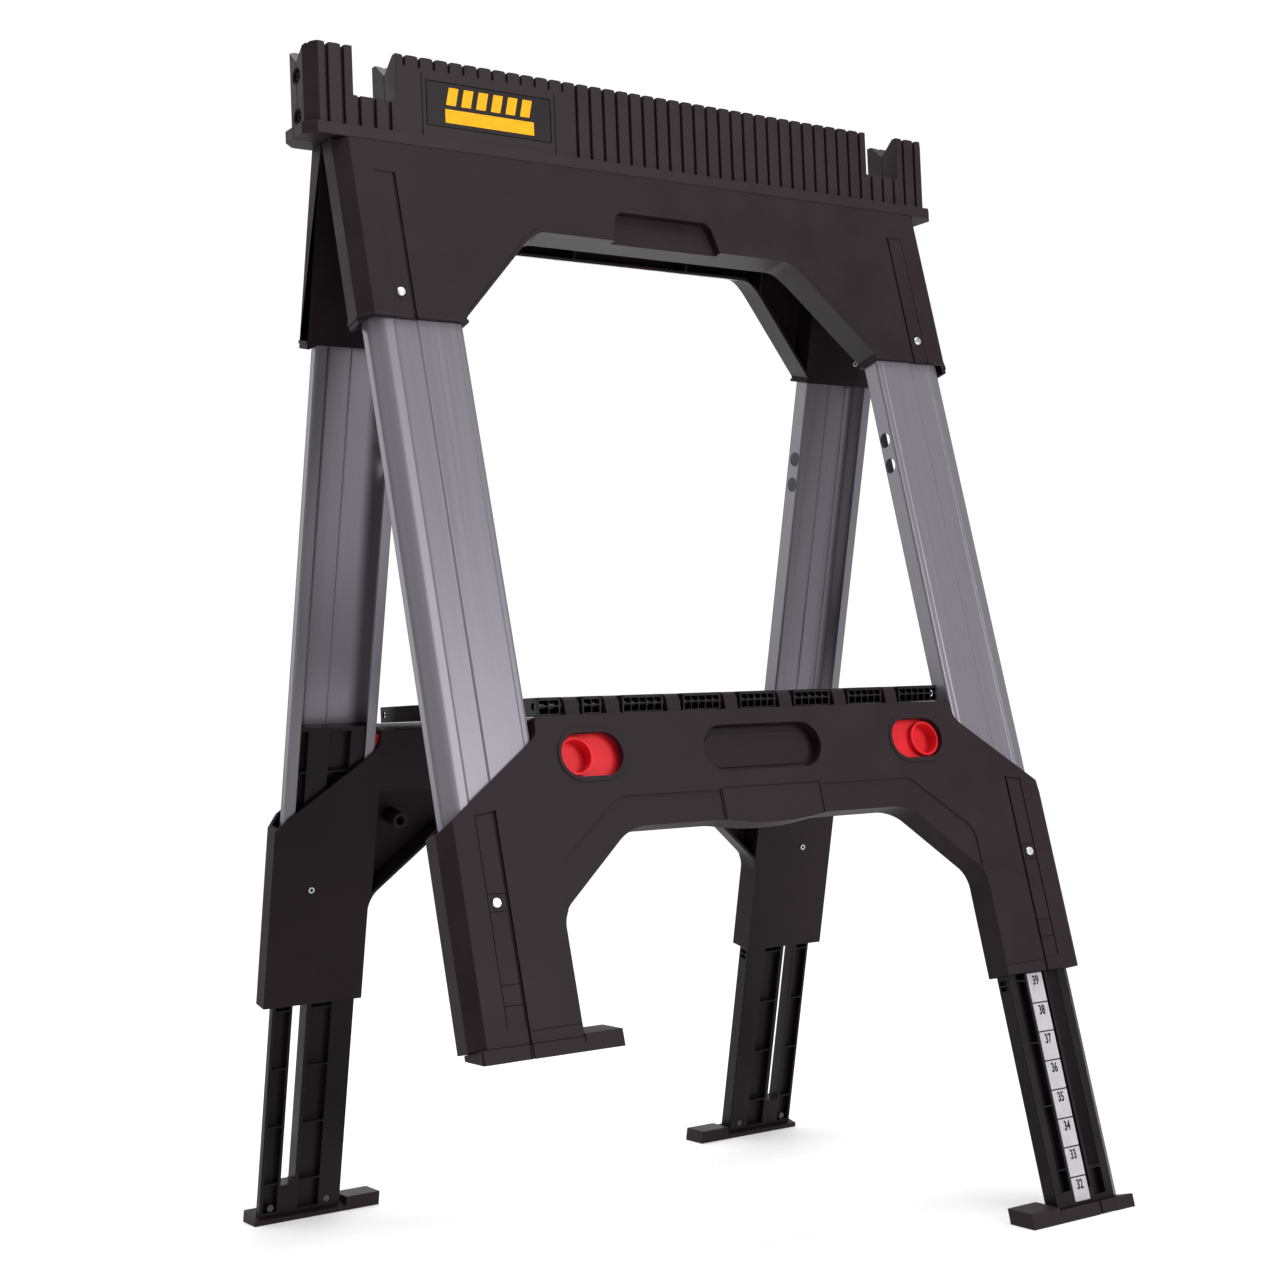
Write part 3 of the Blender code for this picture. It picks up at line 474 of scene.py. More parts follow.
def beam_shell(sign):
    """One half of the beam: sign is -1 for the front half, with the badge, and 1 for the rear one."""
    xs = rib_xs()
    plain = xs[5:17] if sign < 0 else []
    grooved = [x for x in xs if x not in plain]
    body = prism(half_plan(sign, BEAM_HALF - 4, BEAM_Y, grooved), LIP_TOP - 2, BEAM_TOP, "xy")
    steps = [(ADD, prism(half_plan(sign, BEAM_HALF, LIP_Y), LIP_Z, LIP_TOP, "xy"))]
    vee = [(-VEE_Y, BEAM_TOP + 6), (-VEE_Y, BEAM_TOP), (-1.2, VEE_Z + 0.8), (0, VEE_Z),
           (1.2, VEE_Z + 0.8), (VEE_Y, BEAM_TOP), (VEE_Y, BEAM_TOP + 6)]
    steps.append((CUT, prism(vee, -400, 400, "yz")))
    steps.append((CUT, crest_tool()))
    timber = [box(x0, x1, -40, 40, SLOT_Z, 1100)
              for x0, x1 in ((SLOT_X0, SLOT_X1), (-SLOT_X1, -SLOT_X0))]
    steps.append((CUT, join(*timber)))
    y0, y1 = sorted((-sign * 2.0, sign * (BEAM_Y - 5.0)))
    cell_x, cell_pitch, cell_w = -248.5, 83.0, 80.5
    cells = [box(cell_x + k * cell_pitch, cell_x + k * cell_pitch + cell_w, y0, y1, LIP_Z - 5, VEE_Z - 4)
             for k in range(6)]
    steps.append((CUT, join(*cells)))
    # each end screw sits in a bore, inside a raised ring
    for side in (-1, 1):
        def span(near, far):
            """From near to far along x, on this side."""
            return sorted((side * near, side * far))
        for z in END_SCREW_Z:
            steps.append((CUT, rod("x", 0, z, 7.0, *span(BEAM_HALF - 4.5, BEAM_HALF - 3), 32)))
            steps.append((ADD, rod("x", 0, z, 6.2, *span(BEAM_HALF - 5.5, BEAM_HALF - 4.1), 32)))
            steps.append((CUT, rod("x", 0, z, 4.6, *span(326.5, 340.0), 28)))
    if sign < 0:
        outer = -BEAM_Y - 1
        notches = [box(x - 1.0, x + 1.0, outer, -BEAM_Y + 2.6, BEAM_TOP - 9.5, BEAM_TOP + 2) for x in plain]
        steps.append((CUT, join(*notches)))
        steps.append((CUT, box(-224.5, -103.5, outer, -BEAM_Y + 1.4, 935.5, 973.5)))
        # the raised frame round the badge ends in two shallow upright lines
        lines = [box(x - 0.5, x + 0.5, outer, -BEAM_Y + 0.6, LIP_TOP + 1, BEAM_TOP - 13)
                 for x in (-228.5, -99.5)]
        steps.append((CUT, join(*lines)))
    return carve(body, steps, 0.45)


for name, sign in (("front", -1), ("rear", 1)):
    shell = beam_shell(sign)
    piece(f"beam_half_{name}", shell, "beam", "beam", None, "black_plastic", (f"beam_{name}_shell",))


def hinge_lugs(sign):
    """The beam's ears round the hinge pin."""
    made = []
    for centre in HINGE_XS:
        x0 = centre + (-13.0 if sign < 0 else 7.0)
        arc = arc_points(0, HINGE_Z, EYE_R, [math.pi + math.pi * i / 20 for i in range(21)])
        made.append(prism(arc + [(EYE_R, LIP_Z + 0.5), (-EYE_R, LIP_Z + 0.5)], x0, x0 + ARM_W, "yz"))
    return carve(join(*made), [(CUT, rod("x", 0, HINGE_Z, PIN_BORE, -230, 230, 24))], 0.3)


for name, sign in (("front", -1), ("rear", 1)):
    piece(f"hinge_ears_{name}", hinge_lugs(sign), "plain", "beam", slot="black_plastic")

# badge: a plain dark plate with a printed bar and a row of slanted blocks, no lettering
badge_y = -BEAM_Y + 1.1
plate = carve(box(-224.0, -104.0, badge_y - 1.0, badge_y + 0.2, 936.0, 973.0), [], 0.3)
piece("badge", plate, "plain", "beam", slot="black_plastic", replaces=("badge_plate",))
PRINT = 0.14  # how far the print stands out from the plate
print_y = (badge_y - 1.0 - PRINT, badge_y - 0.6)
bar = rounded([(-207, 939.5), (-121, 939.5), (-121, 951.0), (-207, 951.0)], 0.6)
piece("badge_bar", carve(prism(bar, *print_y, "xz"), []), "yellow", "beam", slot="badge")
BLOCK_PITCH, BLOCK_W, BLOCK_LEAN = 14.3, 9.2, 3.2
blocks = []
for k in range(6):
    x = -206 + k * BLOCK_PITCH
    outline = [(x, 954.5), (x + BLOCK_W, 954.5), (x + 12.4, 969.5), (x + BLOCK_LEAN, 969.5)]
    blocks.append(prism(rounded(outline, 0.5, 3), *print_y, "xz"))
piece("badge_blocks", carve(join(*blocks), []), "yellow", "beam", slot="badge")


def screw(side, z):
    """A pan head with a cross recess, on the end of the beam."""
    head = rod("x", 0, z, 3.6, *sorted((side * 326.7, side * 329.6)), 28)
    arms = [box(side * 328.3, side * 332.0, -a, a, z - b, z + b) for a, b in ((2.2, 0.5), (0.5, 2.2))]
    return carve(head, [(CUT, arms[0]), (CUT, arms[1])], 0.35)


for side, letter in ((-1, "left"), (1, "right")):
    for z, level in zip(END_SCREW_Z, ("top", "low")):
        piece(f"end_screw_{letter}_{level}", screw(side, z), "dark", "beam", slot="steel",
              replaces=(f"beam_screw_{letter}_{level}",))


# ---------------------------------------------------------------- brackets
def section(x_edge, x_face, n_low, n_edge, n_top):
    """A bracket cut across, as (x, n): a face with chamfered sides."""
    return [(-x_edge, n_low), (-x_edge, n_edge), (-x_face, n_top),
            (x_face, n_top), (x_edge, n_edge), (x_edge, n_low)]


def leg_space(s0, s1, side):
    """The room in a bracket for one steel leg."""
    poly = [(219.2, 5.3), (219.2, 25.6), (298.8, 25.6), (308.0, 17.6), (308.0, 5.3)]
    return along([(side * x, n) for x, n in poly], s0, s1)


def arm(x0):
    """A hinge arm: a round eye on the pin and a web out to the face."""
    eye = arc_points(0, 0, EYE_R, [math.radians(97.2 + 11.0 * i) for i in range(23)])
    return across([(-1.0, 26.5), (-1.0, 8.0)] + eye + [(14.0, 6.0), (14.0, 26.5)], x0, x0 + ARM_W)


def both(make):
    """What make(side) gives for the left and for the right, as one shape."""
    return join(*[make(side) for side in (-1, 1)])


def flat_both(poly, n0, n1):
    """The same outline on the left and on the right."""
    return both(lambda side: flat([(side * x, s) for x, s in poly], n0, n1))


def bore_both(x, s, r, n_low, n_high, count=32):
    """A round bar out through the face, at x on each side."""
    return both(lambda side: rod("y", side * x, -s, r, -n_high, -n_low, count))


def facing(half, radii):
    """A bracket's rounded outline from its right half, its side edges moved out past the chamfers."""
    outline = rounded(half + [(-x, s) for x, s in reversed(half)], radii + radii[::-1])
    return [(x + math.copysign(2, x) if abs(x) > EDGE_X - 0.5 else x, s) for x, s in outline]


def upper_bracket():
    """The bracket under the beam: an arch, ribbed behind, with hinge arms and a finger recess."""
    half = [(EDGE_X, -2.5), (EDGE_X, UP_BOTTOM + 5), (FACE_X + 1, UP_BOTTOM), (SLEEVE_X, UP_BOTTOM),
            (SLEEVE_X, 149.0), (146.0, 73.0), (133.0, UP_ARCH)]
    wide = facing(half, [0, 2.5, 2, 2, 4, 9, 9])
    flare = [(216.1, N_IN), (216.1, 29.3), (300.4, 29.3), (311.9, 19.3), (311.9, N_IN)]
    steps = [(KEEP, along(section(EDGE_X, FACE_X, 0, EDGE_N, N_OUT), -10, 200)),
             (ADD, both(lambda side: along([(side * x, n) for x, n in flare],
                                           UP_BOTTOM - 2.6, UP_BOTTOM + 0.1))),
             (CUT, both(lambda side: leg_space(-20, 200, side)))]
    slope = (149.0 - 73.0) / (SLEEVE_X - 146.0)
    lift = 2.6  # the arch's own wall

    def edge(x):
        """Where a hollow stops above the arch."""
        x = abs(x)
        if x <= 130:
            return UP_ARCH - lift
        if x <= 146:
            return UP_ARCH - lift + (x - 130) * (73.0 - UP_ARCH) / 16.0 - 1.0
        return 73.0 + (x - 146) * slope - lift * math.sqrt(1 + slope * slope)

    cells = []
    for x0, x1 in ((-214.4, -150.0), (-147.6, -62.0), (62.0, 147.6), (150.0, 214.4)):
        marks = sorted({x0, x1} | {m for m in (-146, -130, 130, 146) if x0 < m < x1})
        cells.append(flat([(x0, -5), (x1, -5)] + [(x, edge(x)) for x in reversed(marks)], 0, N_OUT - WALL))
    cells.append(flat([(-59.6, -5), (59.6, -5), (59.6, 27), (-59.6, 27)], 0, N_OUT - WALL))
    over_arch = UP_ARCH - lift
    cells.append(flat([(-59.6, 29.4), (59.6, 29.4), (59.6, over_arch), (-59.6, over_arch)], 0, 18.0))
    steps.append((CUT, join(*cells)))
    steps.append((CUT, fbox(-307.6, 307.6, -20, 12, -20, 14)))
    # the side walls rise to the beam
    wall = [(2.0, N_IN), (-8.8, N_IN), (-5.0, EDGE_N), (2.0, EDGE_N)]
    steps.append((ADD, both(lambda side: across(wall, *sorted((side * 308.2, side * (EDGE_X - 0.1)))))))
    steps.append((ADD, join(*[arm(centre - 6.6) for centre in HINGE_XS])))
    steps.append((CUT, rod("x", 0, 0, PIN_BORE, -300, 300)))
    fingers = [(-46, 34.5), (46, 34.5), (51, 39), (58, UP_ARCH + 6), (-58, UP_ARCH + 6), (-51, 39)]
    steps.append((CUT, flat(rounded(fingers, [4, 4, 4, 0, 0, 4]), N_OUT - 7.0, N_OUT + 5)))
    # over each leg, a shallow strip with a deeper line on its inner side
    over, floor = N_OUT + 2, N_OUT - 0.5
    steps.append((CUT, flat_both(((264.6, 24.5), (280.7, 24.5), (280.7, 170), (264.6, 170)), floor, over)))
    line = ((262.4, 24.5), (264.4, 24.5), (264.4, 170), (262.4, 170))
    steps.append((CUT, flat_both(line, N_OUT - 1.7, over)))
    # a shallow step along the edge of the arch
    rim = rounded([(133.0, UP_ARCH - 3.4), (146.0, 69.6 - 2.0), (SLEEVE_X - 2, 143.0)], [0, 9, 0])
    rim += [(x, s + 0.9) for x, s in reversed(rim)]
    steps.append((CUT, flat_both(rim, N_OUT - 0.35, over)))
    steps.append((CUT, bore_both(RIVET_X, RIVET_S[0], 4.6, N_OUT - 1.3, 40)))
    return carve(flat(wide, N_IN, over), steps)


def lower_bracket():
    """The crossbar with its leg sleeves: windows, handle recess, pull tab, ribs and tray lugs behind."""
    half = [(215.5, LOW_TOP), (216.5, 497.0), (221.5, 503.0), (FACE_X - 1, 559.5), (EDGE_X, 569.5),
            (EDGE_X, LOW_BOTTOM), (SLEEVE_X, LOW_BOTTOM), (SLEEVE_X, 643.0),
            (212.0, 632.5), (150.0, 580.0), (134.0, LOW_ARCH), (54.0, LOW_ARCH), (36.0, 577.4), (14.0, 579.4)]
    wide = facing(half, [3, 6, 6, 4, 1, 1, 1, 8, 8, 12, 9, 5, 12, 12])
    steps = [(KEEP, along(section(EDGE_X, FACE_X, 0, EDGE_N, N_OUT), 400, 800)),
             (CUT, both(lambda side: leg_space(400, 800, side)))]
    w, over = N_OUT - WALL, N_OUT + 2
    lift = 2.6  # the wall along the top and over the arch
    top, arch = LOW_TOP + lift, LOW_ARCH - lift
    slope = (634.5 - 580.0) / 64.0

    def low_edge(x):
        """Where a hollow stops above the arch."""
        if x <= 132:
            return arch
        if x <= 150:
            return arch + (x - 132) * (580.0 - LOW_ARCH) / 18.0 - 0.8
        return 580.0 + (x - 150) * slope - lift * math.sqrt(1 + slope * slope)

    cells = []
    latch_bay = [(106, top), (213, top), (214.2, 492), (214.2, 536.6), (106, 536.6)]
    arch_bay = [(106, 539), (214.2, 539)] + [(x, low_edge(x)) for x in (214.2, 152, 150, 132, 106)]
    beside_handle = [(68, top), (103.4, top), (103.4, arch), (68, arch)]
    for side in (-1, 1):
        for bay, low in ((latch_bay, N_IN + 2.4), (arch_bay, 0), (beside_handle, 0)):
            cells.append(flat([(side * x, s) for x, s in bay], low, w))
    for s0, s1, high in ((top, 492, w), (494.5, 537, 14.5), (539.5, arch, w)):
        cells.append(flat([(-65.4, s0), (65.4, s0), (65.4, s1), (-65.4, s1)], 0, high))
    steps.append((CUT, join(*cells)))
    rim = both(lambda side: flat(oval(side * LATCH_X, LATCH_S, 31.4, 21.4), w - 0.5, N_OUT + 0.9))
    steps.append((ADD, rim))
    steps.append((ADD, bore_both(191, 567.0, 7.0, N_IN, w + 0.5, 28)))
    eye = arc_points(LUG_S, LUG_N, 7, [math.radians(90 + 10 * i) for i in range(19)])
    lug = eye + [(LOW_TOP + 1.5, LUG_N - 7), (LOW_TOP + 1.5, LUG_N + 7)]
    steps.append((ADD, join(*[across(lug, x - 6.5, x + 6.5) for x in LUGS])))
    steps.append((CUT, join(*[rod("x", -LUG_N, -LUG_S, 2.8, x - 8, x + 8, 20) for x in LUGS])))
    steps.append((CUT, both(lambda side: flat(oval(side * LATCH_X, LATCH_S, 28.5, 17.5), 20, 40))))
    steps.append((CUT, flat(oval(0, 515.6, 60.5, 19.2), 17.0, 40)))
    steps.append((ADD, flat(oval(0, 515.9, 54.5, 14.2), 15.0, 18.4)))
    steps.append((CUT, bore_both(191, 567.0, 4.0, -10, 24.0, 24)))
    steps.append((CUT, both(lambda side: fbox(side * 186, side * 226, 488, 528, 8.4, 16.6))))
    # the face is a step lower in a band round the arch
    inner = [(52.0, 550.2), (150.6, 550.2), (208.6, 595.2), (214.0, 604.0), (214.4, 633.0)]
    outer = [(212.0, 632.5), (150.0, 580.0), (134.0, LOW_ARCH), (54.0, LOW_ARCH), (52.0, LOW_ARCH)]
    band = rounded(inner, [0, 5, 6, 5, 0]) + [(x, s + 3) for x, s in outer]
    steps.append((CUT, flat_both(band, N_OUT - 1.1, N_OUT + 3)))
    # the pull tab is a plain panel between two upright lines
    uprights = [fbox(x - 0.5, x + 0.5, 549.0, 590, N_OUT - 0.9, over) for x in (-50.6, 50.6)]
    steps.append((CUT, join(*uprights)))
    steps.append((CUT, fbox(-51.1, 51.1, 548.4, 549.4, N_OUT - 0.7, over)))
    # over each leg, a shallow strip with a deeper line on its inner side
    strip = ((264.8, 555.5), (280.7, 557.5), (280.7, 717.0), (264.8, 717.0))
    steps.append((CUT, flat_both(strip, N_OUT - 0.5, over)))
    line = ((262.4, 554.5), (264.6, 554.7), (264.6, 800), (262.4, 800))
    steps.append((CUT, flat_both(line, N_OUT - 1.9, over)))
    # fine lines across the strip, along its top and down its outer side
    fine = (N_OUT - 1.3, N_OUT + 1)
    marks = (684.6, 699.8, RIVET_S[1] - 6.9, RIVET_S[1] + 6.3)
    steps.append((CUT, both(lambda side: join(*[fbox(side * 265.2, side * 280.0, s, s + 0.6, *fine)
                                                for s in marks]))))
    steps.append((CUT, flat_both(((264.8, 555.5), (280.8, 557.5), (280.8, 558.3), (264.8, 556.3)), *fine)))
    steps.append((CUT, both(lambda side: fbox(side * 280.2, side * 280.9, 557.4, 717.0, *fine))))
    # a line above the bottom lip
    steps.append((CUT, both(lambda side: fbox(side * 218, side * 262, 719.4, 720.2, N_OUT - 0.5, N_OUT + 1))))
    steps.append((CUT, bore_both(RIVET_X, RIVET_S[1], 4.6, N_OUT - 1.3, 40)))
    return carve(flat(wide, N_IN, over), steps)


UPPER, LOWER = upper_bracket(), lower_bracket()


def polish_underside(obj, matrix):
    """The mould leaves the underside of the arch smooth."""
    obj.data.materials.append(LOOK["polished"])
    back = matrix.inverted()
    for face in obj.data.polygons:
        centre, normal = back @ face.center, back.to_3x3() @ face.normal
        if normal.z < -0.3 and abs(centre.x) < 0.216 and centre.z < -0.055 and abs(normal.y) < 0.2:
            face.material_index = 1


FRAMES = (("front", TILTED), ("rear", TURNED))
for name, matrix in FRAMES:
    place = (f"{name}_frame", matrix, "black_plastic")
    upper = piece(f"upper_bracket_{name}", UPPER, "grained", *place, (f"bracket_upper_{name}",))
    polish_underside(upper, matrix)
    piece(f"lower_bracket_{name}", LOWER, "grained", *place, (f"bracket_lower_{name}",))


# ---------------------------------------------------------------- legs
def leg_mesh():
    """The folded steel leg, with round bends and the rolled step in its face."""
    t = SHEET
    outside = [(LEG_X0 + 10, LEG_N0), (LEG_X0, LEG_N0),
               (LEG_X0, LEG_N1 - 0.45), (LEG_X0 + 6.2, LEG_N1 - 0.45),
               (LEG_X0 + 7.2, LEG_N1), (260.5, LEG_N1), (261.9, LEG_N1 - 1.3),
               (281.3, LEG_N1 - 1.3), (282.7, LEG_N1), (291.6, LEG_N1 - 1.5),
               (LEG_X1, 16.0), (LEG_X1, LEG_N0), (LEG_X1 - 10, LEG_N0)]
    inside = [(LEG_X1 - 10, LEG_N0 + t), (LEG_X1 - t, LEG_N0 + t),
              (LEG_X1 - t, 15.45), (290.8, LEG_N1 - 1.5 - t),
              (283.2, LEG_N1 - t), (281.8, LEG_N1 - 1.3 - t), (261.4, LEG_N1 - 1.3 - t), (260.0, LEG_N1 - t),
              (LEG_X0 + t, LEG_N1 - t), (LEG_X0 + t, LEG_N0 + t), (LEG_X0 + 10, LEG_N0 + t)]
    bends = [0, 2.4, 3.0, 0.4, 0.4, 0.9, 0.9, 0.9, 0.9, 3.0, 3.0, 2.4, 0]
    tight = [0, 1.2, 1.8, 1.8, 0.9, 0.9, 0.9, 0.9, 1.8, 1.2, 0]
    profile = rounded(outside, bends) + rounded(inside, tight)
    steps = [(CUT, join(*[rod("x", -13.5, -s, 6.8, 210.0, 228.0, 36) for s in (229.0, 254.0)])),
             (CUT, fbox(214.0, 226.0, 487.5, 528.5, 8.0, 17.0))]
    return carve(along(profile, 30.0, 722.0), steps, 0.25, 2, 50.0)


def extension_mesh():
    """The sliding leg: a ribbed moulding with a long slot, deep bays and cross ribs."""
    corners = [(EXT_X0, EXT_N0), (EXT_X0, EXT_N1), (289.6, EXT_N1), (EXT_X1, 15.0), (EXT_X1, EXT_N0)]
    profile = rounded(corners, 0.8, 3)
    pockets, top = [], EXT_TOP + 3
    ribs = [top] + [735.0 + RIB_STEP * k for k in range(-4, 4)] + [EXT_END - 3]
    for a, b in zip(ribs, ribs[1:]):
        for x0, x1 in ((283.6, 297.0), (243.4, 263.4)):
            pockets.append(fbox(x0, x1, a + 0.7, b - 0.7, 0, 14.0))
    front = ribs[:-1] + [EXT_END - 12]
    for a, b in zip(front, front[1:]):
        pockets.append(fbox(229.6, 240.6, a + 0.7, b - 0.7, 14.8, 40))
    pockets.append(fbox(261.6, 264.2, top, EXT_END - 12, 15.8, 40))
    pockets.append(fbox(267.4, 281.0, 900.4, 922.0, 14.8, 40))
    steps = [(CUT, join(*pockets)),
             (CUT, flat(rounded([(267.4, 616), (281.0, 616), (281.0, 899), (267.4, 899)], 1.5), 0, 40)),
             (CUT, join(*[fbox(219.0, 224.6, s, s + 3.6, 10.6, 19.4) for s in (732.6, 738.0)])),
             (CUT, join(*[rod("y", x, -FOOT_SCREW_S, 3.7, -10.4, 5, 24) for x in FOOT_SCREW_X.values()]))]
    return carve(along(profile, EXT_TOP, EXT_END), steps, 0.3)


def foot_mesh():
    """The foot: a level sole under the leg, a longer toe inboard, and the line of the strip above."""
    def level(z, n):
        """The point at height z and depth n, as (s, n)."""
        return ((HINGE_Z - z + n * math.sin(TILT)) / math.cos(TILT), n)
    sole = across([level(0, 30.0), level(0, 2.5), (EXT_END + 0.3, 2.5), (EXT_END + 0.3, 30.0)], 216.6, 305.5)
    corner = along([(180, -10), (180, 40), (294, 40), (312, 22), (312, -10)], 800, 1000)
    toe = across([level(0, 30.0), level(0, 2.5), level(12.8, 2.5), level(12.8, 30.0)], 183.5, 216.9)
    steps = [(KEEP, corner), (ADD, toe),
             (CUT, fbox(262.4, 264.6, 900, 960, 28.8, 34)), (CUT, fbox(264.8, 280.7, 900, 960, 29.5, 34)),
             (CUT, fbox(217.0, 217.7, 926.0, 932.0, 20, 34))]
    return carve(sole, steps, 0.35, 2, 50.0)


def latch_mesh():
    """The sliding latch: plate, round finger cup and the tongue that reaches the leg."""
    plate = flat(rounded([(136, 496.5), (213.6, 496.5), (213.6, 534.5), (136, 534.5)], 1.0), 17.0, 20.0)
    steps = [(ADD, rod("y", 181.0, -LATCH_S, 15.4, -25.2, -12.6, 64)),
             (CUT, rod("y", 181.0, -LATCH_S, 13.4, -40, -14.2, 64)),
             (ADD, fbox(204.0, 221.2, 489.0, 527.0, 9.0, 16.0)),
             (ADD, fbox(204.0, 213.6, 498.0, 527.0, 15.0, 18.0)),
             (ADD, fbox(136.0, 138.6, 503.0, 528.0, 8.0, 18.0))]
    return carve(plate, steps, 0.5)


def rivet_mesh(s):
    """A domed rivet head in the face, and its formed end at the back."""
    head = rod("y", RIVET_X, -s, 3.4, -N_OUT - 1.1, -N_OUT + 0.6, 32, 4.2)
    back = rod("y", RIVET_X, -s, 2.7, -N_IN + 0.2, -1.4, 24)
    shank = rod("y", RIVET_X, -s, 2.3, -N_OUT, -1.8, 20)
    return carve(head, [(ADD, shank), (ADD, back), (CUT, rod("y", RIVET_X, -s, 1.6, -6.0, 4, 16))], 0.35)


def number(text, s, side):
    """One number of the height scale, lying on the label at s."""
    font = bpy.data.curves.new("number", "FONT")
    font.body, font.size = text, 0.0112
    font.align_x, font.align_y = "CENTER", "CENTER"
    font.extrude = 0.00005
    font.resolution_u = 4
    font.offset = 0.00026
    drawn = bpy.data.objects.new("number", font)
    mesh = bpy.data.meshes.new_from_object(drawn)
    bpy.data.objects.remove(drawn)
    bpy.data.curves.remove(font)
    # written in the frame's face: across is x, up is against s
    onto = Matrix(((1, 0, 0, side * 0.2516), (0, 0, -1, -(EXT_N1 + 1.08) / 1000),
                   (0, 1, 0, -s / 1000), (0, 0, 0, 1)))
    narrow = Matrix.Diagonal((0.66, 1.0, 1.0, 1))
    mesh.transform(onto @ narrow)
    return mesh


LEG, EXTENSION, FOOT, LATCH = leg_mesh(), extension_mesh(), foot_mesh(), latch_mesh()
RIVETS = {level: rivet_mesh(s) for level, s in zip(("upper", "lower"), RIVET_S)}
FOOT_SCREW = {which: carve(rod("y", x, -FOOT_SCREW_S, 3.3, -10.1, -7.9, 24), [], 0.4)
              for which, x in FOOT_SCREW_X.items()}
LABEL_X, LABEL_TOP, LABEL_END = (242.8, 260.4), 729.8, 924.5
DIVIDERS = (755.6, 780.5, 805.5, 830.6, 855.2, 879.4, 904.4)
LABEL = carve(fbox(*LABEL_X, LABEL_TOP, LABEL_END, EXT_N1 - 0.3, EXT_N1 + 0.9), [], 0.12)
LINES = join(*[fbox(*LABEL_X, s - 0.55, s + 0.55, EXT_N1 + 0.3, EXT_N1 + 1.0) for s in DIVIDERS])
FIRST_NUMBER, NUMBER_DROP = 39, 6.8  # the top number, and how far each stands below its line

for name, matrix in FRAMES:
    for side in (-1, 1):
        world_side = side if name == "front" else -side
        tag = name[0] + ("l" if world_side < 0 else "r")
        body = f"{name}_frame"
        sliding = "extension_" + CORNERS[tag]
        up = TRAVEL if tag == "fl" else 0.0
        place = matrix @ Matrix.Translation((0, 0, up / 1000))

        def handed(mesh):
            """The mesh for this side of the frame."""
            return mirrored(mesh) if side < 0 else mesh.copy()

        plastic = (sliding, place, "black_plastic")
        piece(f"steel_leg_{tag}", handed(LEG), "paint", body, matrix, "leg_paint", (f"leg_{tag}",), 20.0)
        for level in ("upper", "lower"):
            piece(f"rivet_head_{level}_{tag}", handed(RIVETS[level]), "zinc", body, matrix, "zinc",
                  (f"rivet_{level}_{tag}",))
        piece(f"sliding_leg_{tag}", handed(EXTENSION), "plain", *plastic, (f"extension_{tag}",))
        piece(f"foot_pad_{tag}", handed(FOOT), "grained", *plastic, (f"foot_{tag}",))
        for which in FOOT_SCREW:
            piece(f"pad_screw_{which}_{tag}", handed(FOOT_SCREW[which]), "black_screw", sliding, place,
                  "steel", (f"foot_screw_{which}_{tag}",))
        piece(f"scale_{tag}", handed(LABEL), "label", sliding, place, "label", (f"scale_strip_{tag}",))
        piece(f"scale_lines_{tag}", handed(LINES), "ink", sliding, place, "label")
        digits = join(*[number(str(FIRST_NUMBER - k), s + NUMBER_DROP, side)
                        for k, s in enumerate((LABEL_TOP,) + DIVIDERS)])
        piece(f"scale_numbers_{tag}", digits, "ink", sliding, place, "label", smooth=60.0)
        piece(f"latch_{tag}_grip", handed(LATCH), "red", "latch_" + CORNERS[tag], matrix, "red_plastic",
              (f"latch_{tag}",))


# ---------------------------------------------------------------- tray
def tray_mesh():
    """A tray panel about its own pin line: lattice edge, knuckle gaps, top plates and comb fingers."""
    pitch, finger, edge = 14.5, 9.0, -7.0
    bars = [pitch / 2 - 4.5 + 2 * pitch * k for k in range(-7, 7)]
    plan = [(-TRAY_X, edge)]
    for x in LUGS:
        plan += [(x - 10, edge), (x - 10, 9.5), (x + 10, 9.5), (x + 10, edge)]
    plan += [(TRAY_X, edge), (TRAY_X, TRAY_BODY)]
    for a in sorted(bars, reverse=True):
        plan += [(a + finger, TRAY_BODY), (a + finger, TRAY_TIP), (a, TRAY_TIP), (a, TRAY_BODY)]
    plan += [(-TRAY_X, TRAY_BODY)]
    # front lattice: two rows of small cells between the knuckle gaps, open to the front and below
    edges = [-TRAY_X] + [x for lug in LUGS for x in (lug - 10, lug + 10)] + [TRAY_X]
    cells, slits = [], []
    for a, b in zip(edges[::2], edges[1::2]):
        count = max(1, round((b - a - 2) / 7.6))
        step = (b - a - 2.4) / count
        for k in range(count):
            x0, x1 = a + 1.2 + k * step + 0.55, a + 1.2 + (k + 1) * step - 0.55
            cells.append(box(x0, x1, -12, 8.0, -5.9, -0.7))
            cells.append(box(x0, x1, -12, 8.0, 0.7, 4.4))
        slits.append(box(a + 1.0, a + 1.9, -12, 30, 5.2, 9))
        slits.append(box(b - 1.9, b - 1.0, -12, 30, 5.2, 9))
    under = []
    for k in range(8):
        x0 = -TRAY_X + 2.2 + k * 51.5
        for y0, y1 in ((13.0, 46.0), (48.2, 81.5)):
            under.append(box(x0 + 1, x0 + 50.3, y0, y1, -12, TRAY_T - 2.4))
    # fine lines across the top plates
    tops = [box(-400, 400, y - 0.5, y + 0.5, TRAY_T - 0.6, TRAY_T + 2) for y in (30, 48, 66, 82)]
    steps = [(CUT, join(*cells)), (CUT, join(*slits)), (CUT, join(*under)), (CUT, join(*tops)),
             (CUT, rod("x", 0, 0, 2.8, -260, 260, 20))]
    return carve(prism(plan, -TRAY_T, TRAY_T, "xy"), steps, 0.3)


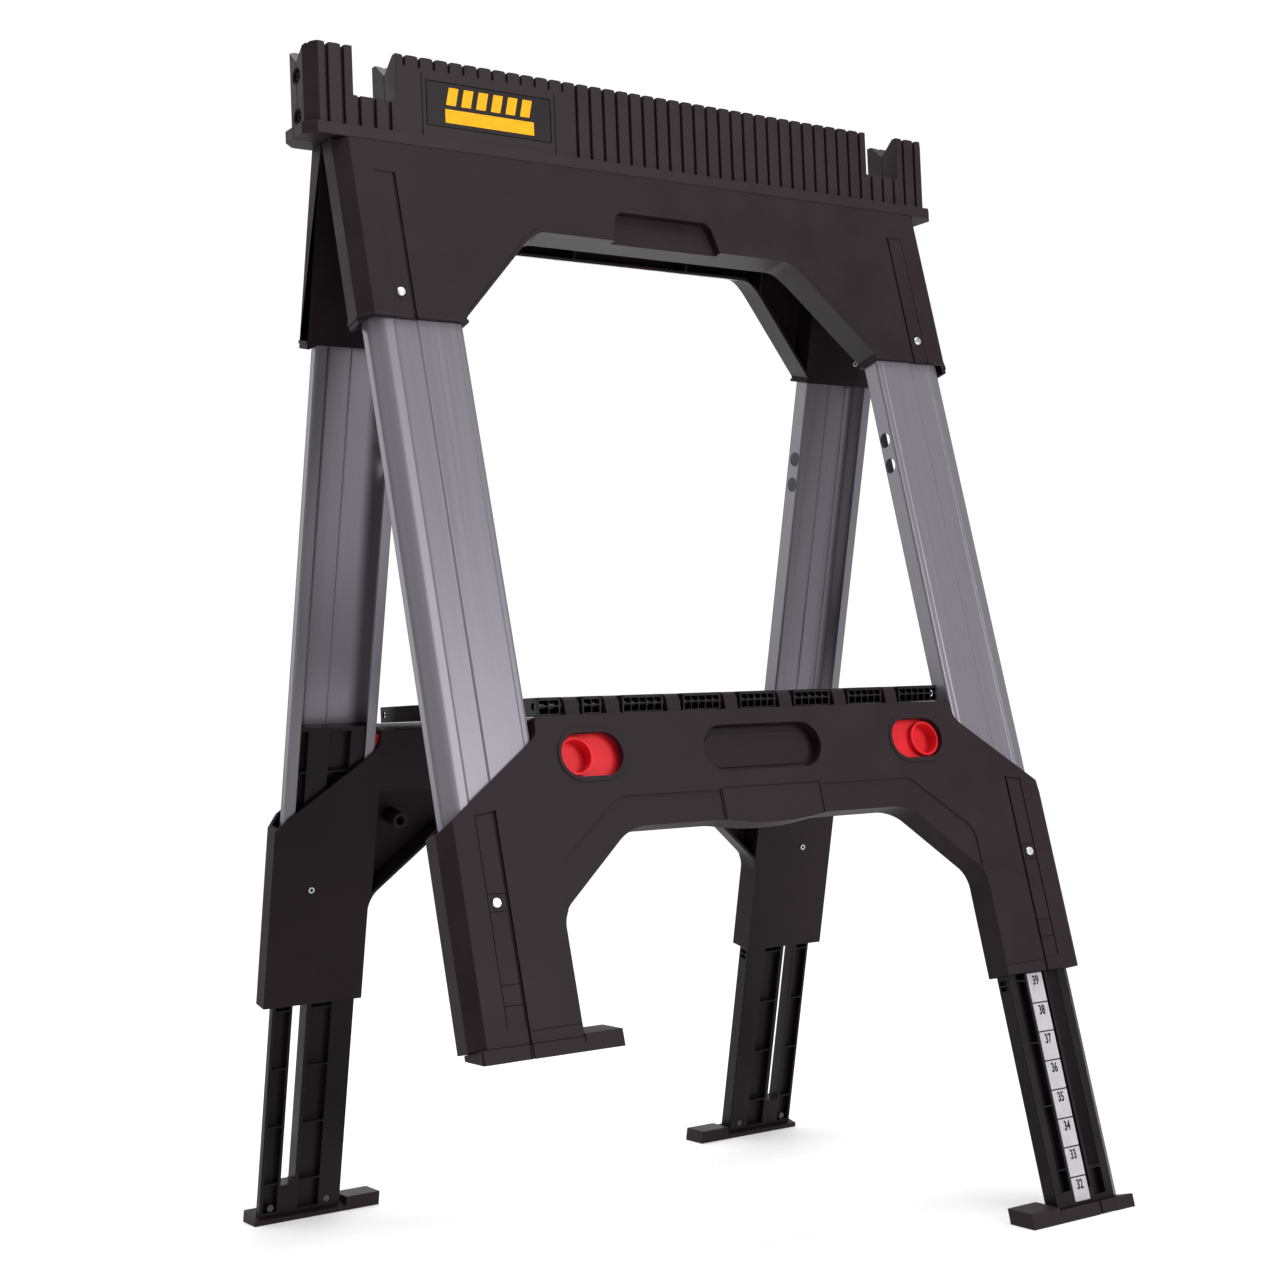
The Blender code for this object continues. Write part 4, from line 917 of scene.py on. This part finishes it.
TRAY = tray_mesh()
front_at = Matrix.Translation((0, -TRAY_Y / 1000, TRAY_Z / 1000))
for name, at in (("front", front_at), ("rear", Matrix.Rotation(math.pi, 4, "Z") @ front_at)):
    piece(f"tray_deck_{name}", TRAY, "plain", f"tray_{name}", at, "black_plastic", (f"tray_panel_{name}",))
    matrix = TILTED if name == "front" else TURNED
    # round drums between the panel's knuckles, on the tray pin
    drums = join(*[rod("x", -LUG_N, -LUG_S, 4.6, x0, x1, 28) for x in LUGS
                   for x0, x1 in ((x - 9.6, x - 6.8), (x + 6.8, x + 9.6))])
    piece(f"tray_drums_{name}", carve(drums, [], 0.3), "plain", f"{name}_frame", matrix, "black_plastic")

# CAD nodes that keep their own shape
for name, node in frame["nodes"].items():
    if name.startswith(("hinge_pin", "tray_pin", "latch_spring")):
        node.data.materials.clear()
        node.data.materials.append(LOOK["steel"])
        node.data.shade_smooth()


# ---------------------------------------------------------------- floor, light and camera
def stage_floor():
    """A white paper floor that fades into the background away from the object."""
    bm = bmesh.new()
    bmesh.ops.create_circle(bm, cap_ends=True, segments=96, radius=4.0)
    mesh = bpy.data.meshes.new("floor")
    bm.to_mesh(mesh)
    bm.free()
    made, tree, shader = new_material("floor_paper", (0.60, 0.60, 0.60), 0.8, specular=0.1)
    shader.inputs["Emission Color"].default_value = (1, 1, 1, 1)
    shader.inputs["Emission Strength"].default_value = 0.36
    where = tree.nodes.new("ShaderNodeTexCoord")
    reach = tree.nodes.new("ShaderNodeVectorMath")
    reach.operation = "LENGTH"
    wire(tree, where, "Object", reach, "Vector")
    fade = remap(tree, reach, "Value", 0.9, 3.4, 1.0, 0.0)
    # the paper gives way under the beam, where the feet reach lower with the frames closed
    axes = tree.nodes.new("ShaderNodeSeparateXYZ")
    wire(tree, where, "Object", axes, "Vector")
    sides = []
    for axis, near, far in (("X", 0.36, 0.50), ("Y", 0.06, 0.19)):
        size = tree.nodes.new("ShaderNodeMath")
        size.operation = "ABSOLUTE"
        wire(tree, axes, axis, size, 0)
        side = remap(tree, size, "Value", near, far, 0.0, 1.0)
        side.interpolation_type = "SMOOTHSTEP"
        sides.append(side)
    outside, alpha = tree.nodes.new("ShaderNodeMath"), tree.nodes.new("ShaderNodeMath")
    outside.operation, alpha.operation = "MAXIMUM", "MULTIPLY"
    wire(tree, sides[0], "Result", outside, 0)
    wire(tree, sides[1], "Result", outside, 1)
    wire(tree, outside, "Value", alpha, 0)
    wire(tree, fade, "Result", alpha, 1)
    wire(tree, alpha, "Value", shader, "Alpha")
    mesh.materials.append(made)
    obj = bpy.data.objects.new("floor", mesh)
    scene.collection.objects.link(obj)


LIT_POINT = Vector((0, 0, 0.5))


def softbox(name, at, size, power):
    """A white area light turned to the middle of the object."""
    light = bpy.data.lights.new(name, "AREA")
    light.shape, light.size, light.size_y = "RECTANGLE", size[0], size[1]
    light.energy = power
    obj = bpy.data.objects.new(name, light)
    obj.location = at
    obj.rotation_euler = (LIT_POINT - Vector(at)).to_track_quat("-Z", "Y").to_euler()
    scene.collection.objects.link(obj)


stage_floor()
world = bpy.data.worlds.new("studio")
world.use_nodes = True
sky = world.node_tree
backdrop = sky.nodes["Background"]
backdrop.inputs["Color"].default_value = (1.0, 1.0, 1.0, 1)
seen = sky.nodes.new("ShaderNodeLightPath")
AMBIENT, WHITE_PAPER = 0.30, 1.05  # how bright the world is to the object, and to the camera
level = remap(sky, seen, "Is Camera Ray", 0.0, 1.0, AMBIENT, WHITE_PAPER)
wire(sky, level, "Result", backdrop, "Strength")
scene.world = world
softbox("key", (1.0, -3.0, 1.1), (1.3, 1.6), 52)
softbox("side", (-1.9, 2.3, 1.2), (1.6, 2.0), 20)
softbox("strip", (0.15, -3.0, 2.0), (0.3, 1.3), 16)
softbox("top", (0.0, 0.0, 3.3), (3.4, 3.4), 142)
softbox("back", (1.4, 3.0, 1.6), (2.4, 2.0), 30)
scene.view_settings.view_transform = "Standard"

# the camera stands where the photograph was taken from
CAMERA_AT = (-1.01337, -1.47202, 0.43604)
camera = bpy.data.cameras.new("camera")
camera.sensor_width, camera.lens, camera.clip_start = 36.0, 56.44, 0.05
eye = bpy.data.objects.new("camera", camera)
forward = Vector((0.55966, 0.82777, 0.03974)).normalized()
up = Vector((0.01112, -0.05544, 0.99840))
right = forward.cross(up).normalized()
up = right.cross(forward)
turn = Matrix((right, up, -forward)).transposed().to_4x4()
eye.matrix_world = Matrix.Translation(CAMERA_AT) @ turn
scene.collection.objects.link(eye)
scene.camera = eye
